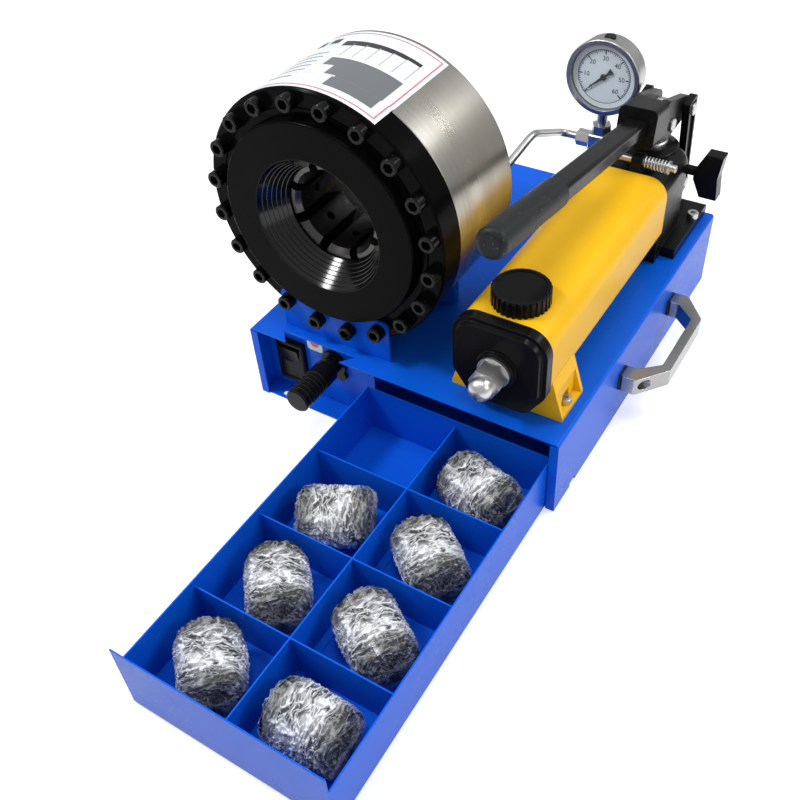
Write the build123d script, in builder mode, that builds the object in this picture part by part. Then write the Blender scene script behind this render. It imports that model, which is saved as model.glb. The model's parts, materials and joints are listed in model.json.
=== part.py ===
from build123d import *
import os
from math import atan2, cos, degrees, hypot, radians, sin, tan

# Bench-top hose crimping machine: a sheet-metal cabinet with a die drawer, a ring-piston crimping head
# on its left and a hand pump on its right, joined by a steel pressure pipe.
# Millimetres. The origin is the centre of the cabinet's underside. +X is to the operator's right,
# +Y to the back, +Z up, so the operator stands at -Y.

# ---------------------------------------------------------------- driving dimensions

# cabinet
cabinet_width = 400.0
cabinet_depth = 472.0
cabinet_height = 103.0
sheet = 2.0
bend_radius = 4.0
side_hem = 10.0                # return flange at the front edge of each side wall
bench_hole_radius = 4.0
bench_hole_inset_x = 30.0
bench_hole_inset_y = 10.0
notch_width = 102.0            # finger notch in the deck's front edge, above the front panel
notch_depth = 15.0
notch_taper = 13.0
notch_from_left = 40.0
panel_setback = 27.0           # the front panel stands this far behind the deck's front edge
panel_width = 156.0            # front panel, from the cabinet's left face to the drawer bay
drain_slot_length = 14.0
drain_slot_height = 5.0
drain_slot_setback = 48.0

# drawer
drawer_gap = 1.0               # between the drawer and the sheets on each side of it
drawer_lift = 0.3
drawer_length = 412.0
drawer_height = 66.0
drawer_front_height = 90.0
drawer_engagement = 12.0       # length that stays in the bay when the drawer is pulled out
drawer_sheet = 1.5
drawer_rows = 4
drawer_columns = 2
divider_height = 56.0
divider_foot = 8.0             # folded foot that fastens each divider to the tray's floor

# crimping head
head_from_left = 108.0
head_clearance = 15.0          # flange to deck
flange_radius = 146.0
flange_setback = 30.0          # flange face behind the deck's front edge
flange_thickness = 34.0
flange_counterbore_radius = 124.0
flange_step_depth = 8.0
groove_radius = 127.5
groove_width = 1.6
cylinder_radius = 144.0
cylinder_length = 114.0
cylinder_bore_radius = 112.0
rear_wall = 26.0
cover_radius = 117.0
cover_proud = 12.0
cover_fillet = 2.0
cover_shoulder_thickness = 10.0
mouth_radius = 77.0
mouth_groove_depth = 0.6
throat_radius = 56.0
head_fit = 0.3
running_fit = 0.05
bolt_circle_radius = 134.0
head_bolt_count = 20
saddle_bolt_count = 4
cap_head_radius = 9.0
cap_head_height = 12.0
cap_socket_across_flats = 10.0
cap_socket_depth = 6.0
cap_shank_radius = 6.0
head_bolt_length = 50.0
bolt_hole_clearance = 0.4
small_chamfer = 1.5            # on caps, fittings and other small pieces
bolt_hole_runout = 4.0
cylinder_chamfer = 1.5
flange_chamfer = 2.0
seal_width = 8.0
seal_depth = 5.0

# master dies and ring piston
die_count = 8
die_length = 70.0
die_closed_radius = 32.5
die_stroke = 13.5              # radial travel of each master die
die_side_gap = 0.6             # between neighbouring dies when they are shut
die_edge_chamfer = 5.0
die_pin_hole_radius = 5.0
die_pin_hole_depth = 12.0
die_front_gap = 2.0
cone_slope = 0.3               # rise of the piston's ramps over their length
ramp_front_distance = 77.6     # from the axis to each ramp, at the piston's front face
piston_ring_length = 50.0
piston_length = 96.0
piston_setback = 70.0          # piston's front face behind the flange face, with the dies open
skirt_radius = 67.0
skirt_bore_radius = 57.0

# saddle plate and rear cradle
saddle_half_width = 73.0
saddle_height = 54.0
saddle_thickness = 3.0
saddle_corner = 8.0
saddle_arc_clearance = 3.0
cradle_thickness = 10.0
cradle_setback = 150.0
cradle_half_width = 86.0
cradle_height = 50.0

# hand pump
pump_from_left = 323.0
tank_width = 102.0
tank_height = 102.0
tank_lift = 15.0
tank_wall = 4.0
tank_top_corner = 24.0
tank_low_corner = 12.0
tank_chamfer_width = 20.0
tank_chamfer_height = 30.0
tank_front_setback = 25.0
tank_length = 310.0
tank_cap_thickness = 17.0
tank_cap_lip = 2.0
tank_cap_step = 5.0
tank_cap_taper = 20.0          # degrees
cap_boss_radius = 22.0
cap_boss_height = 4.0
cap_boss_taper = 10.0          # degrees
tie_rod_radius = 10.0
acorn_across_flats = 30.0
acorn_hex_length = 20.0
acorn_dome_length = 17.0
acorn_dome_radius = 13.0
acorn_dome_flat = 1.0
acorn_washer_radius = 18.0
acorn_washer_thickness = 3.0
filler_setback = 60.0
filler_radius = 30.5
filler_height = 18.0
filler_flutes = 30
filler_flute_radius = 1.8
filler_recess = 1.5
filler_rim = 4.0
neck_radius = 21.0
neck_height = 11.0
neck_wall = 3.0
neck_clearance = 0.4
foot_setback = 32.0
foot_length = 52.0
foot_half_width = 65.0
foot_thickness = 5.0
foot_web = 5.0
foot_web_height = 46.0
foot_bolt_inset = 8.5
pump_bolt_radius = 4.0
pump_bolt_head_radius = 7.0
pump_bolt_head_height = 7.0
pump_bolt_socket_across_flats = 6.0
pump_bolt_socket_depth = 4.0
pump_nut_height = 6.5

# pump block and plunger
block_length = 97.0
block_half_width = 47.0
block_height = 116.0
block_top_corner = 22.0
block_foot_setback = 354.0
block_foot_length = 117.0
block_foot_thickness = 14.0
block_bolt_setback = 433.0
block_bolt_inset = 6.0
plunger_setback = 407.0
plunger_radius = 11.0
tower_radius = 34.0
tower_height = 4.0
tower_ledge = 4.0              # round the gland
gland_radius = 20.0
gland_height = 5.0
plunger_bore_depth = 60.0
plunger_depth = 30.0
plunger_head_half_width = 11.5
plunger_head_radius = 15.0
plunger_slot = 3.0
lever_pin_radius = 6.0

# lever
lever_pin_rise = 30.0          # above the pump block's top
link_pin_setback = 452.0
link_pin_rise = 2.0            # above the lever's own pin
link_foot_setback = 470.0
link_foot_height = 140.0
ear_inner = 12.0
ear_outer = 22.0
ear_radius = 14.0
ear_rise = 24.0
link_gap = 1.0
link_thickness = 9.0
link_end = 13.0                # from each pin to the end of the link
link_top_width = 26.0
link_foot_width = 22.0
link_recess = 2.5
link_rib = 4.0
spine_radius = 13.0
pin_head_radius = 8.0
pin_head_height = 3.0
plunger_eye_clearance = 0.4
socket_mouth_setback = 345.0
socket_mouth_height = 270.0
socket_length = 46.0
socket_half_width = 23.0
bar_setback = 125.0
bar_height = 307.0
bar_half_width = 13.0
bar_half_height = 10.0
bar_overlap_in_socket = 36.0
grip_length = 137.0
grip_radius = 16.0
grip_end_round = 7.0
grip_overlap = 24.0
lever_fit = 0.1

# valves on the pump block
valve_setback = 419.0
valve_height = 190.0
valve_stem_radius = 6.0
valve_stem_length = 19.0
valve_seat_depth = 25.0
wing_half_length = 29.0
wing_depth = 23.0
wing_thickness = 18.0
wing_root = 9.0
wing_flare = 2.0
wing_dish = 3.0
latch_setback = 344.0
latch_height = 231.0
latch_radius = 4.5
latch_left = -17.0
latch_right = 54.0
latch_lug_left = 2.0
latch_lug_right = 15.0
latch_lug_radius = 9.0
latch_spring_radius = 7.5
latch_spring_wire = 1.2
latch_spring_coils = 7
latch_clip_radius = 8.0
latch_clip_thickness = 2.0
latch_clip_from_end = 10.0

# pressure gauge and pipe
gauge_from_left = 242.0
gauge_setback = 436.0
gauge_height = 272.0
gauge_rim_radius = 48.0
gauge_rim_width = 6.0
gauge_rim_depth = 8.0
gauge_case_radius = 45.5
gauge_case_depth = 32.0
gauge_case_chamfer = 3.0
gauge_dial_radius = 41.0
gauge_dial_thickness = 1.0
gauge_dial_depth = 7.0
gauge_glass_thickness = 1.5
gauge_glass_depth = 1.5
gauge_stem_radius = 7.0
gauge_hex_across_flats = 22.0
gauge_hex_height = 12.0
gauge_plug_radius = 7.0
gauge_plug_height = 3.0
pointer_length = 33.0
pointer_tail = 14.0
pointer_width = 4.0
pointer_thickness = 0.8
pointer_angle = 222.0
pointer_spindle_radius = 1.5
pointer_hub_radius = 4.0
tee_half_size = 13.0
tee_height = 180.0
pipe_radius = 5.0
pipe_bore_radius = 3.0
fitting_across_flats = 19.0
fitting_length = 18.0
port_radius_on_head = 100.0
port_angle = -50.0
port_boss_width = 26.0         # outlet housing on the pump block's back left corner
port_boss_half = 14.0
port_boss_gap = 3.0            # between the housing and the left link
port_boss_round = 4.0
pipe_first_run = 70.0
pipe_crest_from_left = 188.0
pipe_crest_setback = 362.0
pipe_crest_height = 222.0
pipe_last_run = 24.0
pipe_bend_radii = (50.0, 30.0, 14.0)

# carrying handles
handle_centre_setback = 249.5
handle_half_span = 86.5
handle_foot_width = 20.0
handle_foot_reach = 20.0
handle_stand_off = 48.0
handle_half_straight = 52.0
handle_height = 58.0
handle_bar_width = 22.0
handle_bar_thickness = 11.0
handle_edge = 1.5
handle_pad_thickness = 3.0
handle_screw_radius = 4.0
handle_screw_head_radius = 6.5
handle_screw_head_height = 4.0
handle_nut_thickness = 5.0

# rocker switch
switch_from_left = 38.0
switch_height = 49.0
switch_width = 40.0
switch_length = 62.0
switch_proud = 8.0
switch_border = 4.0
switch_depth = 20.0
switch_wall = 1.5
rocker_gap = 0.4
rocker_end_gap = 1.6
rocker_half_angle = 5.0
rocker_pin_radius = 2.0
rocker_pivot_depth = 7.0
rocker_keel = 8.0

# die-changing tool and its socket
tool_from_left = 101.0
tool_height = 70.0
tool_radius = 15.0
tool_length = 72.0
tool_neck_radius = 11.5
tool_neck_length = 12.0
tool_spigot_radius = 8.0
tool_spigot_length = 30.0
tool_ribs = 6
tool_rib_width = 3.0
tool_rib_depth = 1.2
tool_socket_radius = 17.0
tool_socket_flange = 5.0
tool_socket_wall = 4.0
tool_socket_depth = 34.0
tool_lug_radius = 7.0
tool_fit = 0.1

# wrapped die sets
set_segments = 8
set_outer_radius = 30.0
set_length = 70.0
set_slit = 0.8                 # between neighbouring segments
set_bores = (8.0, 10.0, 12.5, 14.0, 16.5, 19.0, 21.5)
set_rest_gap = 0.3
set_angles = (-17.0, 25.0, -40.0, -48.0, -33.0, -47.0, 0.0)

# ---------------------------------------------------------------- places worked out from them

left_x = -cabinet_width / 2
right_x = cabinet_width / 2
front_y = -cabinet_depth / 2
back_y = cabinet_depth / 2
deck_z = cabinet_height

panel_y = front_y + panel_setback
handle_y = front_y + handle_centre_setback
handle_screw_half_pitch = handle_half_span - handle_foot_width / 2
bay_left = left_x + panel_width
bay_right = right_x - side_hem
bay_width = bay_right - bay_left
bay_centre = (bay_left + bay_right) / 2

head_x = left_x + head_from_left
head_z = deck_z + head_clearance + flange_radius
flange_y = front_y + flange_setback
cylinder_y = flange_y + flange_thickness
cylinder_back = cylinder_y + cylinder_length
cover_y = flange_y - cover_proud
cover_back = flange_y + flange_step_depth + cover_shoulder_thickness
die_front = cover_back + die_front_gap
piston_y = flange_y + piston_setback
head_axis = Axis((head_x, 0, head_z), (0, 1, 0))

pump_x = left_x + pump_from_left
tank_z = deck_z + tank_lift
tank_y = front_y + tank_front_setback
tank_back = tank_y + tank_length
tank_centre_z = tank_z + tank_height / 2
block_top = deck_z + block_height
lever_pin_height = block_top + lever_pin_rise
link_pin_height = lever_pin_height + link_pin_rise
tower_top = block_top + tower_height
plunger_y = front_y + plunger_setback
link_pin_y = front_y + link_pin_setback
link_foot_y = front_y + link_foot_setback
link_inner = ear_outer + link_gap
link_outer = link_inner + link_thickness
socket_mouth_y = front_y + socket_mouth_setback
bar_y = front_y + bar_setback
lever_slope = degrees(atan2(bar_height - socket_mouth_height, socket_mouth_y - bar_y))
block_right = pump_x + block_half_width
valve_y = front_y + valve_setback
latch_y = front_y + latch_setback

gauge_x = left_x + gauge_from_left
gauge_y = front_y + gauge_setback
gauge_axis = Axis((gauge_x, 0, gauge_height), (0, 1, 0))
gauge_back = gauge_y + gauge_case_depth
stem_y = gauge_y + gauge_case_depth / 2
port_boss_left = pump_x - link_outer - port_boss_gap - port_boss_width

parts = {}


def keep(piece, label):
    """Label a finished piece and put it with the others that are written at the end."""
    piece.label = label
    parts[label] = piece


def facing_front(x, y, z):
    """A sketch plane whose normal points at the operator."""
    return Plane(origin=(x, y, z), x_dir=(1, 0, 0), z_dir=(0, -1, 0))


def facing_right(x, y, z):
    """A sketch plane whose normal points along +X, with its own x along +Y."""
    return Plane(origin=(x, y, z), x_dir=(0, 1, 0), z_dir=(1, 0, 0))


def turned_about_head(profile):
    """A ring about the head's axis from a closed outline of (radius, y) corners."""
    with BuildPart() as ring:
        with BuildSketch(Plane(origin=(head_x, 0, head_z), z_dir=(0, 0, 1))):
            with BuildLine():
                Polyline(*profile, close=True)
            make_face()
        revolve(axis=head_axis)
    return ring.part


def cap_screw(head_radius, head_height, across_flats, socket_depth, shank_radius, length):
    """A socket cap screw: the head's seat lies on Z = 0 and the shank points down."""
    with BuildPart() as screw:
        Cylinder(head_radius, head_height, align=(Align.CENTER, Align.CENTER, Align.MIN))
        chamfer(screw.edges().filter_by(GeomType.CIRCLE).sort_by(Axis.Z)[-1], head_height / 12)
        with BuildSketch(Plane.XY.offset(head_height)):
            RegularPolygon(across_flats / 2, 6, major_radius=False)
        extrude(amount=-socket_depth, mode=Mode.SUBTRACT)
        Cylinder(shank_radius, length, align=(Align.CENTER, Align.CENTER, Align.MAX))
    return screw.part


# ---------------------------------------------------------------- cabinet

with BuildPart() as shell:
    Box(cabinet_width, cabinet_depth, cabinet_height, align=(Align.CENTER, Align.CENTER, Align.MIN))
    fillet(shell.edges().filter_by(Axis.Y).group_by(Axis.Z)[-1], bend_radius)
    openings = [shell.faces().sort_by(Axis.Y)[0], shell.faces().sort_by(Axis.Z)[0]]
    offset(amount=-sheet, openings=openings)
    with Locations((left_x + side_hem / 2, front_y, 0), (right_x - side_hem / 2, front_y, 0)):
        Box(side_hem, sheet, cabinet_height - bend_radius, align=(Align.CENTER, Align.MIN, Align.MIN))
    with BuildSketch(Plane.XY.offset(deck_z)):
        with Locations((left_x + notch_from_left + notch_width / 2, front_y)):
            Trapezoid(notch_width, notch_depth, 180 - degrees(atan2(notch_depth, notch_taper)),
                      align=(Align.CENTER, Align.MIN), rotation=0)
    extrude(amount=-2 * sheet, mode=Mode.SUBTRACT)
    pump_bolt_places = [(pump_x + side * (foot_half_width - foot_bolt_inset),
                         front_y + foot_setback + foot_length / 2) for side in (-1, 1)]
    pump_bolt_places += [(pump_x + side * (foot_half_width - block_bolt_inset),
                          front_y + block_bolt_setback) for side in (-1, 1)]
    with Locations(*[(x, y, deck_z - sheet) for x, y in pump_bolt_places]):
        Cylinder(pump_bolt_radius + bolt_hole_clearance, 4 * sheet, mode=Mode.SUBTRACT)
    handle_holes = [(side * right_x, handle_y + end * handle_screw_half_pitch, handle_height)
                    for side in (-1, 1) for end in (-1, 1)]
    with Locations(*handle_holes):
        Cylinder(handle_screw_radius + bolt_hole_clearance, 6 * sheet, rotation=(0, 90, 0),
                 mode=Mode.SUBTRACT)
    with Locations((right_x, front_y + drain_slot_setback, drain_slot_height / 2)):
        Box(4 * sheet, drain_slot_length, drain_slot_height, mode=Mode.SUBTRACT)
keep(shell.part, "cabinet_shell")

with BuildPart() as floor:
    Box(cabinet_width - 2 * sheet, cabinet_depth - 2 * sheet, sheet,
        align=(Align.CENTER, Align.CENTER, Align.MIN))
    bench_pitch_x = cabinet_width - 2 * bench_hole_inset_x
    bench_pitch_y = cabinet_depth - 2 * bench_hole_inset_y
    with GridLocations(bench_pitch_x, bench_pitch_y, 2, 2):
        Hole(bench_hole_radius)
keep(floor.part, "floor_plate")

with BuildPart() as panel:
    with BuildSketch(Plane.XY.offset(sheet)):
        with BuildLine():
            inner_left = left_x + sheet
            inner_back = back_y - sheet
            Polyline((inner_left, panel_y), (bay_left, panel_y), (bay_left, inner_back),
                     (bay_left - sheet, inner_back), (bay_left - sheet, panel_y + sheet),
                     (inner_left, panel_y + sheet), close=True)
        make_face()
    extrude(amount=cabinet_height - 2 * sheet)
    fillet(panel.edges().filter_by(Axis.Y).group_by(Axis.Z)[-1].sort_by(Axis.X)[0], bend_radius)
    with Locations((left_x + switch_from_left, panel_y, switch_height)):
        Box(switch_width - 2 * switch_border, 4 * sheet, switch_length - 2 * switch_border,
            mode=Mode.SUBTRACT)
    with Locations((left_x + tool_from_left, panel_y, tool_height)):
        Cylinder(tool_spigot_radius + tool_fit + tool_socket_wall + head_fit, 4 * sheet,
                 rotation=(90, 0, 0), mode=Mode.SUBTRACT)
keep(panel.part, "front_panel")

with BuildPart() as guide:
    with BuildSketch(facing_front(0, front_y + sheet, 0)):
        with BuildLine():
            Polyline((bay_right, sheet), (right_x - sheet, sheet), (right_x - sheet, 2 * sheet),
                     (bay_right + sheet, 2 * sheet), (bay_right + sheet, drawer_height),
                     (bay_right, drawer_height), close=True)
        make_face()
    extrude(amount=-(cabinet_depth - 2 * sheet))
keep(guide.part, "drawer_guide")

# ---------------------------------------------------------------- crimping head

bolt_angles = [90 + (index + 0.5) * 360 / head_bolt_count for index in range(head_bolt_count)]

cylinder_profile = [
    (cylinder_bore_radius, cylinder_y), (cylinder_radius, cylinder_y), (cylinder_radius, cylinder_back),
    (skirt_radius + running_fit, cylinder_back), (skirt_radius + running_fit, cylinder_back - rear_wall),
    (cylinder_bore_radius, cylinder_back - rear_wall)]
port_x = head_x + port_radius_on_head * cos(radians(port_angle))
port_z = head_z + port_radius_on_head * sin(radians(port_angle))
with BuildPart() as cylinder:
    add(turned_about_head(cylinder_profile))
    outer = cylinder.edges().filter_by(GeomType.CIRCLE).filter_by(lambda e: e.radius == cylinder_radius)
    chamfer(outer, cylinder_chamfer)
    with BuildSketch(facing_front(head_x, cylinder_y, head_z)):
        with PolarLocations(bolt_circle_radius, head_bolt_count, start_angle=bolt_angles[0]):
            Circle(cap_shank_radius + bolt_hole_clearance)
    extrude(amount=-(head_bolt_length - flange_thickness + bolt_hole_runout), mode=Mode.SUBTRACT)
    with Locations((port_x, cylinder_back - rear_wall / 2, port_z)):
        Cylinder(pipe_bore_radius, rear_wall, rotation=(90, 0, 0), mode=Mode.SUBTRACT)
keep(cylinder.part, "cylinder_body")

flange_profile = [
    (cover_radius + head_fit, flange_y), (flange_radius, flange_y), (flange_radius, cylinder_y),
    (flange_counterbore_radius + head_fit, cylinder_y),
    (flange_counterbore_radius + head_fit, flange_y + flange_step_depth),
    (cover_radius + head_fit, flange_y + flange_step_depth)]
with BuildPart() as flange:
    add(turned_about_head(flange_profile))
    rim = flange.edges().filter_by(GeomType.CIRCLE).filter_by(lambda e: e.radius == flange_radius)
    chamfer(rim, flange_chamfer)
    with BuildSketch(facing_front(head_x, flange_y, head_z)):
        with PolarLocations(bolt_circle_radius, head_bolt_count, start_angle=bolt_angles[0]):
            Circle(cap_shank_radius + bolt_hole_clearance)
    extrude(amount=-flange_thickness, mode=Mode.SUBTRACT)
    with BuildSketch(facing_front(head_x, flange_y, head_z)):
        Circle(groove_radius)
        Circle(groove_radius - groove_width, mode=Mode.SUBTRACT)
    extrude(amount=-groove_width, mode=Mode.SUBTRACT)
keep(flange.part, "front_flange")

mouth_step_count = 7
mouth_run = (cover_back - cover_y) / mouth_step_count
mouth_fall = (mouth_radius - throat_radius) / mouth_step_count
with BuildPart() as cover:
    cover_profile = [
        (throat_radius, cover_back), (flange_counterbore_radius, cover_back),
        (flange_counterbore_radius, flange_y + flange_step_depth),
        (cover_radius, flange_y + flange_step_depth), (cover_radius, cover_y), (mouth_radius, cover_y)]
    add(turned_about_head(cover_profile))
    front_edge = cover.edges().filter_by(GeomType.CIRCLE).filter_by(lambda e: e.radius == cover_radius)
    fillet(front_edge.sort_by(Axis.Y)[0], cover_fillet)
    for step in range(1, mouth_step_count):
        groove_y = cover_y + step * mouth_run
        wall = mouth_radius - step * mouth_fall
        with BuildSketch(Plane(origin=(head_x, 0, head_z), z_dir=(0, 0, 1))):
            with BuildLine():
                Polyline((wall - mouth_groove_depth, groove_y),
                         (wall + mouth_groove_depth, groove_y + mouth_groove_depth),
                         (wall - mouth_fall / 4, groove_y + 2 * mouth_groove_depth), close=True)
            make_face()
        revolve(axis=head_axis, mode=Mode.SUBTRACT)
keep(cover.part, "cone_cover")

saddle_bolt_index = range(head_bolt_count // 2 - saddle_bolt_count // 2,
                          head_bolt_count // 2 + saddle_bolt_count // 2)
with BuildPart() as saddle:
    with BuildSketch(facing_front(head_x, flange_y, 0)):
        with Locations((0, deck_z)):
            Rectangle(2 * saddle_half_width, saddle_height, align=(Align.CENTER, Align.MIN))
        with Locations((0, head_z)):
            Circle(cover_radius + saddle_arc_clearance, mode=Mode.SUBTRACT)
        with Locations((0, head_z)):
            with PolarLocations(bolt_circle_radius, head_bolt_count, start_angle=bolt_angles[0]):
                Circle(cap_shank_radius + bolt_hole_clearance, mode=Mode.SUBTRACT)
    extrude(amount=saddle_thickness)
    top_corners = saddle.edges().filter_by(Axis.Y).group_by(Axis.X)
    fillet([top_corners[0].sort_by(Axis.Z)[-1], top_corners[-1].sort_by(Axis.Z)[-1]], saddle_corner)
keep(saddle.part, "saddle_plate")

with BuildPart() as cradle:
    cradle_y = front_y + cradle_setback
    with BuildSketch(facing_front(head_x, cradle_y, 0)):
        with Locations((0, deck_z)):
            Rectangle(2 * cradle_half_width, cradle_height, align=(Align.CENTER, Align.MIN))
        with Locations((0, head_z)):
            Circle(cylinder_radius, mode=Mode.SUBTRACT)
    extrude(amount=-cradle_thickness)
keep(cradle.part, "rear_cradle")

head_bolt = cap_screw(cap_head_radius, cap_head_height, cap_socket_across_flats, cap_socket_depth,
                      cap_shank_radius, head_bolt_length)
with BuildPart() as head_bolts:
    for index, angle in enumerate(bolt_angles):
        seat = flange_y - (saddle_thickness if index in saddle_bolt_index else 0)
        x = head_x + bolt_circle_radius * cos(radians(angle))
        z = head_z + bolt_circle_radius * sin(radians(angle))
        with Locations(facing_front(x, seat, z)):
            add(head_bolt)
keep(head_bolts.part, "head_bolts")

# The ring piston's bore is a pyramid of flat ramps, one for each master die.
inner_step = 360 / die_count
ramp_back_distance = ramp_front_distance - cone_slope * piston_length
with BuildPart() as piston:
    add(turned_about_head([
        (skirt_bore_radius / 2, piston_y), (cylinder_bore_radius - running_fit, piston_y),
        (cylinder_bore_radius - running_fit, piston_y + piston_ring_length), (skirt_radius, piston_y
        + piston_ring_length), (skirt_radius, piston_y + piston_length),
        (skirt_bore_radius / 2, piston_y + piston_length)]))
    with BuildSketch(facing_front(head_x, piston_y, head_z)):
        RegularPolygon(ramp_front_distance, die_count, major_radius=False, rotation=inner_step / 2)
    with BuildSketch(facing_front(head_x, piston_y + piston_length, head_z)):
        RegularPolygon(ramp_back_distance, die_count, major_radius=False, rotation=inner_step / 2)
    loft(mode=Mode.SUBTRACT)
    with BuildSketch(facing_front(head_x, piston_y, head_z)):
        Circle(skirt_bore_radius)
    extrude(amount=-piston_length, mode=Mode.SUBTRACT)
    with BuildSketch(Plane(origin=(head_x, 0, head_z), z_dir=(0, 0, 1))):
        with Locations((cylinder_bore_radius, piston_y + piston_ring_length / 2)):
            Rectangle(2 * seal_depth, seal_width)
    revolve(axis=head_axis, mode=Mode.SUBTRACT)
keep(piston.part, "ring_piston")

seal_half = seal_width / 2 - running_fit
seal_middle = piston_y + piston_ring_length / 2
seal_profile = [(cylinder_bore_radius - seal_depth + running_fit, seal_middle - seal_half),
                (cylinder_bore_radius - running_fit, seal_middle - seal_half),
                (cylinder_bore_radius - running_fit, seal_middle + seal_half),
                (cylinder_bore_radius - seal_depth + running_fit, seal_middle + seal_half)]
keep(turned_about_head(seal_profile), "piston_seal")

die_open_radius = die_closed_radius + die_stroke
die_back = die_front + die_length


def ramp_distance(y):
    """Distance from the head's axis to the piston's ramps at a place along the axis."""
    return ramp_front_distance - cone_slope * (y - piston_y)


def master_die(number):
    """One master die in its open place: a wedge with a flat ramp outside and a round bore inside."""
    turn = (number - 1) * inner_step
    with BuildPart() as die:
        with BuildSketch(Plane(origin=(0, 0, 0), x_dir=(0, 1, 0), z_dir=(1, 0, 0))):
            with BuildLine():
                low = (die_closed_radius - die_edge_chamfer) * cos(radians(inner_step / 2)) + die_stroke
                Polyline((die_front, low), (die_front, ramp_distance(die_front) - running_fit),
                         (die_back, ramp_distance(die_back) - running_fit), (die_back, low), close=True)
            make_face()
        extrude(amount=ramp_front_distance, both=True)
        # the two flanks meet at the closed axis, which lies one stroke above the head's axis
        with BuildSketch(facing_front(0, die_front, die_stroke)):
            with BuildLine():
                reach = 3 * ramp_front_distance
                half = radians(inner_step / 2)
                shift = die_side_gap / 2 / sin(half)
                Polyline((0, shift), (reach * sin(half), shift + reach * cos(half)),
                         (-reach * sin(half), shift + reach * cos(half)), close=True)
            make_face()
        extrude(amount=-die_length, mode=Mode.INTERSECT)
        with BuildSketch(facing_front(0, die_front, die_stroke)):
            Circle(die_closed_radius)
        extrude(amount=-die_length, mode=Mode.SUBTRACT)
        with BuildSketch(facing_front(0, die_front, die_stroke)):
            Circle(die_closed_radius + die_edge_chamfer)
        extrude(amount=-die_edge_chamfer, taper=45, mode=Mode.SUBTRACT)
        with Locations((0, die_front + die_length / 2, die_open_radius)):
            Cylinder(die_pin_hole_radius, 2 * die_pin_hole_depth, mode=Mode.SUBTRACT)
    return die.part.rotate(Axis((0, 0, 0), (0, 1, 0)), turn).moved(Location((head_x, 0, head_z)))


for number in range(1, die_count + 1):
    keep(master_die(number), f"master_die_{number}")

# ---------------------------------------------------------------- hand pump


def tank_outline(grow):
    """The tank's section about its own centre, made larger all round by grow."""
    half = tank_width / 2
    top = tank_height / 2
    with BuildSketch() as section:
        with BuildLine():
            Polyline((-half, -top + tank_chamfer_height), (-half, top), (half, top),
                     (half, -top + tank_chamfer_height), (half - tank_chamfer_width, -top),
                     (-half + tank_chamfer_width, -top), close=True)
        make_face()
        corners = section.vertices()
        fillet(corners.group_by(Axis.Y)[-1], tank_top_corner)
        low = section.vertices().filter_by_position(Axis.Y, -top - 1, -top + tank_chamfer_height + 1)
        fillet(low, tank_low_corner)
        if grow:
            offset(amount=grow)
    return section.sketch


with BuildPart() as tank:
    with BuildSketch(facing_front(pump_x, tank_y, tank_centre_z)):
        add(tank_outline(0))
        add(tank_outline(-tank_wall), mode=Mode.SUBTRACT)
    extrude(amount=-tank_length)
    with Locations((pump_x, front_y + filler_setback, tank_z + tank_height - tank_wall)):
        Cylinder(neck_radius, neck_height + tank_wall, align=(Align.CENTER, Align.CENTER, Align.MIN))
        Cylinder(neck_radius - neck_wall, neck_height + tank_wall,
                 align=(Align.CENTER, Align.CENTER, Align.MIN), mode=Mode.SUBTRACT)
keep(tank.part, "oil_tank")

with BuildPart() as tank_cap:
    with BuildSketch(facing_front(pump_x, tank_y, tank_centre_z)):
        add(tank_outline(tank_cap_lip))
    extrude(amount=tank_cap_thickness - tank_cap_step)
    with BuildSketch(facing_front(pump_x, tank_y - tank_cap_thickness + tank_cap_step, tank_centre_z)):
        add(tank_outline(tank_cap_lip - tank_cap_step))
    extrude(amount=tank_cap_step, taper=tank_cap_taper)
    cap_face = tank_y - tank_cap_thickness
    with BuildSketch(facing_front(pump_x, cap_face, tank_centre_z)):
        Circle(cap_boss_radius)
    extrude(amount=cap_boss_height, taper=cap_boss_taper)
    with BuildSketch(facing_front(pump_x, tank_y, tank_centre_z)):
        Circle(tie_rod_radius + head_fit)
    extrude(amount=2 * tank_cap_thickness, mode=Mode.SUBTRACT)
keep(tank_cap.part, "tank_front_cap")

nut_seat = cap_face - cap_boss_height
with BuildPart() as nut:
    with BuildSketch(facing_front(pump_x, nut_seat, tank_centre_z)):
        Circle(acorn_washer_radius)
    extrude(amount=acorn_washer_thickness)
    with BuildSketch(facing_front(pump_x, nut_seat - acorn_washer_thickness, tank_centre_z)):
        RegularPolygon(acorn_across_flats / 2, 6, major_radius=False)
    extrude(amount=acorn_hex_length)
    dome_y = nut_seat - acorn_washer_thickness - acorn_hex_length
    with BuildSketch(facing_front(pump_x, dome_y, tank_centre_z)):
        Circle(acorn_dome_radius)
    extrude(amount=acorn_dome_length)
    fillet(nut.edges().filter_by(GeomType.CIRCLE).sort_by(Axis.Y)[0], acorn_dome_radius - acorn_dome_flat)
    with BuildSketch(facing_front(pump_x, nut_seat, tank_centre_z)):
        Circle(tie_rod_radius)
    extrude(amount=acorn_washer_thickness + acorn_hex_length, mode=Mode.SUBTRACT)
keep(nut.part, "acorn_nut")

with BuildPart() as rod:
    rod_front = nut_seat - acorn_washer_thickness - acorn_hex_length
    with BuildSketch(facing_front(pump_x, rod_front, tank_centre_z)):
        Circle(tie_rod_radius)
    extrude(amount=-(tank_back - rod_front))
keep(rod.part, "tie_rod")

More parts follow.
